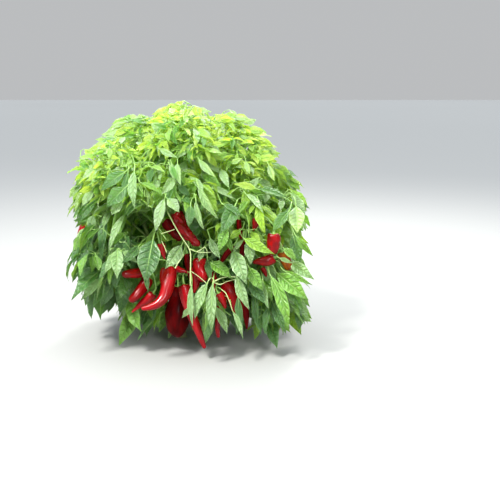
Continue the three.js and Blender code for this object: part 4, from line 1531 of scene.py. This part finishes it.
def leaf_across(p, d, zone, seed):
    """One leaf, on a side twig of its own, that crosses the line along d at p."""
    r = np.random.default_rng(seed)
    h = unit(np.array([p[0] - AXIS_AT[0], p[1] - AXIS_AT[1], 0.0]))
    h = unit(h + np.array([*r.normal(size=2) * 0.45, 0.0]))
    if abs(h @ d) > 0.75:
        h = turned(h, UP, r.choice([-1.0, 1.0]) * r.uniform(0.7, 1.2))
    e0 = math.radians(r.uniform(*((-68, -28), (-58, -8), (-38, 18))[zone]))
    axis = unit(h * math.cos(e0) + UP * math.sin(e0))
    face = turned(across(UP * 0.6 - d * 0.75, axis), axis, r.normal() * 0.25)
    L = r.uniform(*((0.058, 0.088), (0.052, 0.080), (0.040, 0.062))[zone])
    base = p - axis * L * 0.42 + face * L * 0.05
    pway = unit(h + UP * r.uniform(0.2, 0.9))
    root = base - pway * L * r.uniform(0.25, 0.4)
    shares = np.array(TINTS[zone])
    if p[0] < -0.07:
        shares = shares * (0.45, 0.85, 1.35, 1.7)
    if in_shade(p):
        shares = shares * (0.3, 0.5, 2.2, 0.4)
    tint = int(r.choice(4, p=shares / shares.sum()))
    return join_on(
        root, 0.0012, seed, sides=5,
        leafy=lambda way: place_leaf(
            root, pway, base, axis, face, L, L * r.uniform(0.38, 0.46), zone, tint, seed,
            bend=r.uniform(0.25, 0.8), sway=r.normal() * 0.2, twist=r.normal() * 0.35,
            fold=r.uniform(0.15, 0.6), curl=r.uniform(0.05, 0.2), wave=r.uniform(0.015, 0.05),
            quilt=r.uniform(0.03, 0.055), fine=0)) is not None


def leaf_tree():
    verts, faces, at_vert = [], [], 0
    for bags in leaves.bags.values():
        for bag in bags:
            verts += bag.verts
            faces += [q_ + at_vert for q_ in bag.quads]
            at_vert += bag.count
    return BVHTree.FromPolygons(np.vstack(verts).tolist(), np.vstack(faces).tolist())


def crown_spans(start, way):
    """The stretches of a line that lie in a mass, as (from, to, mass)."""
    spans = []
    for n in MASSES:
        tree_, at_, stops = mass_mesh[n][2], 0.0, []
        while len(stops) < 8:
            hit = tree_.ray_cast(Vector(start + way * at_), Vector(way))
            if hit[0] is None:
                break
            at_ += hit[3] + 1e-5
            stops.append(at_)
        spans += [(a_, c_, n) for a_, c_ in zip(stops[::2], stops[1::2])]
    return spans


for again in range(3):
    tree = leaf_tree()
    filled = 0
    for p in r_fill.uniform(CAD_BOX[0], CAD_BOX[1], (16000, 3)):
        if p[2] < 0.13:
            continue
        core = [n for n in MASSES if enclosed(n, p)]
        if not core or max(mass_mesh[n][2].find_nearest(Vector(p))[3] for n in core) < 0.020:
            continue
        thin = False
        for d_ in [unit(p - CAM), *sights]:
            d_ = Vector(d_)
            if tree.ray_cast(Vector(p), d_)[0] is None and tree.ray_cast(Vector(p), -d_)[0] is None:
                thin = True
                break
        if not thin:
            continue
        if np.min(np.linalg.norm(np.array(taken) - p, axis=1)) < 0.020:
            continue
        _, _, d_ = wood_near(p)
        if d_ < 0.006 or d_ > 0.14:
            continue
        taken.append(p)
        if fill_at(p, ZONE[core[0]], 2600 + 400 * again + filled):
            filled += 1
    print("filled", filled)
print("leaves", placed, "dropped", dropped)

# The same for single holes, line by line over a few views.
corners = np.array([[CAD_BOX[i][0], CAD_BOX[j][1], CAD_BOX[k][2]]
                    for i in (0, 1) for j in (0, 1) for k in (0, 1)], float)
lines = []
lines += [(CAM, ray(x, y)) for y in range(150, 336, 2) for x in range(100, 312, 2)]
for az_, el_ in ((0, 3), (45, 25), (90, 3), (225, 15)):
    az_, el_ = math.radians(az_), math.radians(el_)
    d_ = np.array([-math.sin(az_) * math.cos(el_), math.cos(az_) * math.cos(el_), -math.sin(el_)])
    e1 = unit(np.cross(d_, UP))
    e2 = np.cross(e1, d_)
    mid = corners.mean(0)
    for u_ in np.arange(-0.36, 0.361, 0.011):
        for v_ in np.arange(-0.36, 0.361, 0.011):
            lines.append((mid + e1 * u_ + e2 * v_ - d_ * 1.0, d_))
for again in range(2):
    tree = leaf_tree() if lines else None
    filled = 0
    for start, d_ in lines:
        if tree.ray_cast(Vector(start), Vector(d_))[0] is not None:
            continue
        spans = [sp for sp in crown_spans(start, d_) if sp[1] - sp[0] > 0.026]
        if not spans:
            continue
        places = []
        for a_, c_, n in spans:
            for t_ in np.linspace(a_ + 0.010, c_ - 0.010, 5):
                p = start + d_ * t_
                if p[2] < 0.10:
                    continue
                _, _, far = wood_near(p)
                if 0.008 < far < 0.16:
                    places.append((far, tuple(p), n))
        for _, p, n in sorted(places)[:4]:
            p = np.array(p)
            if np.min(np.linalg.norm(np.array(taken) - p, axis=1)) < 0.012:
                break
            if leaf_across(p, d_, ZONE[n], 5200 + 900 * again + filled):
                taken.append(p)
                filled += 1
                break
    print("holes filled", filled)
print("leaves", placed, "dropped", dropped)

# ------------------------------------------------------------------ pieces
bark = stalk_material("bark", 0, (0.16, 0.19, 0.07), (0.33, 0.30, 0.16), 0.68, 11.0, 0.0014)
green_bark = stalk_material("green_bark", 1, (0.20, 0.33, 0.08), (0.33, 0.42, 0.14), 0.55, 9.0, 0.0009)
young = stalk_material("young_stem", 0, (0.14, 0.29, 0.05), (0.24, 0.41, 0.10), 0.45, 7.0)
stalk_green = stalk_material("leaf_stalk", 0, (0.24, 0.44, 0.09), (0.36, 0.56, 0.17), 0.42, 5.0, 0.0004)
stalk_pale = stalk_material("pale_stalk", 1, (0.40, 0.52, 0.18), (0.56, 0.62, 0.33), 0.42, 5.0, 0.0004)
cap_green = stalk_material("fruit_cap", 0, (0.13, 0.29, 0.045), (0.23, 0.40, 0.09), 0.48, 8.0)
# skins of red, deep, dark and turning fruit; the deep and dark ones also carry painted shade for peppers in shadow
skins = [
    skin_material("skin_red", 0, (0.285, 0.001, 0.004), (0.19, 0.0008, 0.0025), (0.29, 0.010, 0.005), 0.20, 0.20, 0.14),
    skin_material("skin_deep_and_shaded", 1, (0.25, 0.001, 0.0025), (0.125, 0.0008, 0.0015), (0.20, 0.007, 0.004), 0.23, 0.16, 0.10),
    skin_material("skin_dark_and_shaded", 2, (0.095, 0.0004, 0.0008), (0.036, 0.0003, 0.0006), (0.07, 0.003, 0.001), 0.30, 0.05, 0.015),
    skin_material("skin_turning", 3, (0.22, 0.056, 0.001), (0.15, 0.028, 0.001), (0.14, 0.085, 0.003), 0.28, 0.14, 0.08),
]
# Leaf colours by zone. The top zone's colours and glow are lighter and the low zone's darker: partly the tone of young
# and old leaves, partly painted light and shade by height. The dark green tint is also kept dark as painted shade.
LOOKS = {
    # the last row of each zone, the pale tint, is painted sheen
    0: [((0.31, 0.60, 0.018), (0.18, 0.42, 0.013), (0.58, 0.78, 0.20)),
        ((0.18, 0.47, 0.024), (0.092, 0.30, 0.017), (0.48, 0.71, 0.19)),
        ((0.053, 0.200, 0.031), (0.026, 0.114, 0.020), (0.26, 0.49, 0.10)),
        ((0.33, 0.57, 0.225), (0.15, 0.37, 0.075), (0.66, 0.81, 0.34))],
    1: [((0.38, 0.68, 0.022), (0.23, 0.50, 0.017), (0.64, 0.84, 0.22)),
        ((0.21, 0.51, 0.032), (0.115, 0.35, 0.023), (0.52, 0.76, 0.23)),
        ((0.050, 0.200, 0.031), (0.025, 0.114, 0.020), (0.27, 0.50, 0.11)),
        ((0.41, 0.64, 0.29), (0.19, 0.44, 0.10), (0.72, 0.85, 0.42))],
    2: [((0.66, 0.90, 0.105), (0.47, 0.77, 0.065), (0.84, 0.95, 0.46)),
        ((0.44, 0.79, 0.125), (0.28, 0.63, 0.075), (0.74, 0.90, 0.46)),
        ((0.120, 0.39, 0.055), (0.064, 0.25, 0.038), (0.42, 0.68, 0.22)),
        ((0.55, 0.79, 0.47), (0.33, 0.63, 0.22), (0.84, 0.94, 0.60))],
}
GLOW = {0: (0.30, 0.52, 0.010), 1: (0.50, 0.75, 0.016), 2: (0.71, 0.93, 0.08)}
COOL = ((1, 1), (0.96, 1), (0.60, 0.90), (0.92, 1))  # what the tints take of the glow's red and green
SHEEN = (-0.10, -0.03, -0.03, 0.13)  # and add to its gloss
THROUGH = {0: 0.27, 1: 0.37, 2: 0.46}

stem_piece = stems.make("stem_and_boughs", [bark, green_bark])
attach(stem_piece, "root")
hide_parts("main_stem", *MAIN_BOUGHS, *SIDE_BOUGHS)

twig_piece = twigs.make("twigs", [young])
zone_name = {0: "low", 1: "middle", 2: "top"}
stalk_pieces = [
    bag.make(f"leaf_stalks_{zone_name[zone]}", [stalk_green, stalk_pale])
    for zone, bag in stalks.items()
]
for piece in (twig_piece, *stalk_pieces):
    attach(piece, "root")

for zone, members in ((0, LOW), (1, MID), (2, TOP)):
    looks = [
        leaf_material(f"leaf_{zone_name[zone]}_{k}", k, *LOOKS[zone][k],
                      (GLOW[zone][0] * COOL[k][0], GLOW[zone][1] * COOL[k][1], GLOW[zone][2]),
                      (0.40, 0.40, 0.41, 0.44)[k], THROUGH[zone],
                      (1.66, 1.74, 1.84)[zone] + SHEEN[k])
        for k in range(4)
    ]
    for k, bag in enumerate(leaves.bags[zone]):
        piece = bag.make(f"leaves_{zone_name[zone]}_{k + 1}", looks)
        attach(piece, "root")
        if k == 0:
            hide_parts(*members)

fruit_piece = fruit.make("peppers", skins)
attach(fruit_piece, "root")
cap_piece = caps.make("pepper_caps_and_stalks", [cap_green])
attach(cap_piece, "root")

# ------------------------------------------------------------------- stage
floor_mat, nodes, links = new_material("floor")
grain = node(nodes, "ShaderNodeTexNoise")
grain.inputs["Scale"].default_value = 3.0
tone = mix_colour(nodes, links, grain.outputs[0], (0.33, 0.33, 0.32), (0.37, 0.37, 0.36))
fp = node(nodes, "ShaderNodeBsdfPrincipled")
fp.inputs["Roughness"].default_value = 0.85
links.new(tone, fp.inputs["Base Color"])
fo = node(nodes, "ShaderNodeOutputMaterial")
links.new(fp.outputs[0], fo.inputs[0])
me = bpy.data.meshes.new("floor")
S = 40.0
me.from_pydata([(-S, -S, 0), (S, -S, 0), (S, S, 0), (-S, S, 0)], [], [(0, 1, 2, 3)])
me.materials.append(floor_mat)
floor = bpy.data.objects.new("floor", me)
bpy.context.scene.collection.objects.link(floor)


def area_light(name, place, aim, size, watts, colour=(1, 1, 1)):
    d = bpy.data.lights.new(name, "AREA")
    d.shape, d.size, d.energy, d.color = "DISK", size, watts, colour
    o = bpy.data.objects.new(name, d)
    o.location = place
    o.rotation_mode = "QUATERNION"
    o.rotation_quaternion = (Vector(aim) - Vector(place)).to_track_quat("-Z", "Y")
    bpy.context.scene.collection.objects.link(o)
    return o


area_light("key", (-1.0, -1.6, 2.6), (0.03, 0, 0.4), 0.60, 162, (1.0, 0.985, 0.95))
area_light("back", (0.8, 1.7, 2.6), (0.03, 0, 0.4), 1.1, 98, (1.0, 0.99, 0.96))
area_light("front", (1.0, -3.2, 1.7), (0.03, 0, 0.3), 0.8, 58, (1.0, 1.0, 1.0))

# a soft sky: bright overhead, dimmer towards the horizon
world = bpy.data.worlds.new("world")
world.use_nodes = True
wt = world.node_tree
w_at = node(wt.nodes, "ShaderNodeTexCoord")
w_xyz = node(wt.nodes, "ShaderNodeSeparateXYZ")
wt.links.new(w_at.outputs["Generated"], w_xyz.inputs[0])
w_up = ramp(wt.nodes, wt.links, w_xyz.outputs[2], 0.15, 0.95)
w_tone = mix_colour(wt.nodes, wt.links, w_up, (0.50, 0.51, 0.52), (1.90, 2.02, 2.16))
wt.links.new(w_tone, wt.nodes["Background"].inputs[0])
wt.nodes["Background"].inputs[1].default_value = 1.0
bpy.context.scene.world = world

cam = bpy.data.cameras.new("camera")
cam.sensor_width = 36.0
cam.lens = FOCAL / 500 * 36.0
cam_ob = bpy.data.objects.new("camera", cam)
cam_ob.location = CAM
cam_ob.rotation_mode = "QUATERNION"
cam_ob.rotation_quaternion = Vector(C_AHEAD).to_track_quat("-Z", "Y")
bpy.context.scene.collection.objects.link(cam_ob)
bpy.context.scene.camera = cam_ob

scene = bpy.context.scene
scene.view_settings.view_transform = "Standard"
scene.view_settings.look = "None"
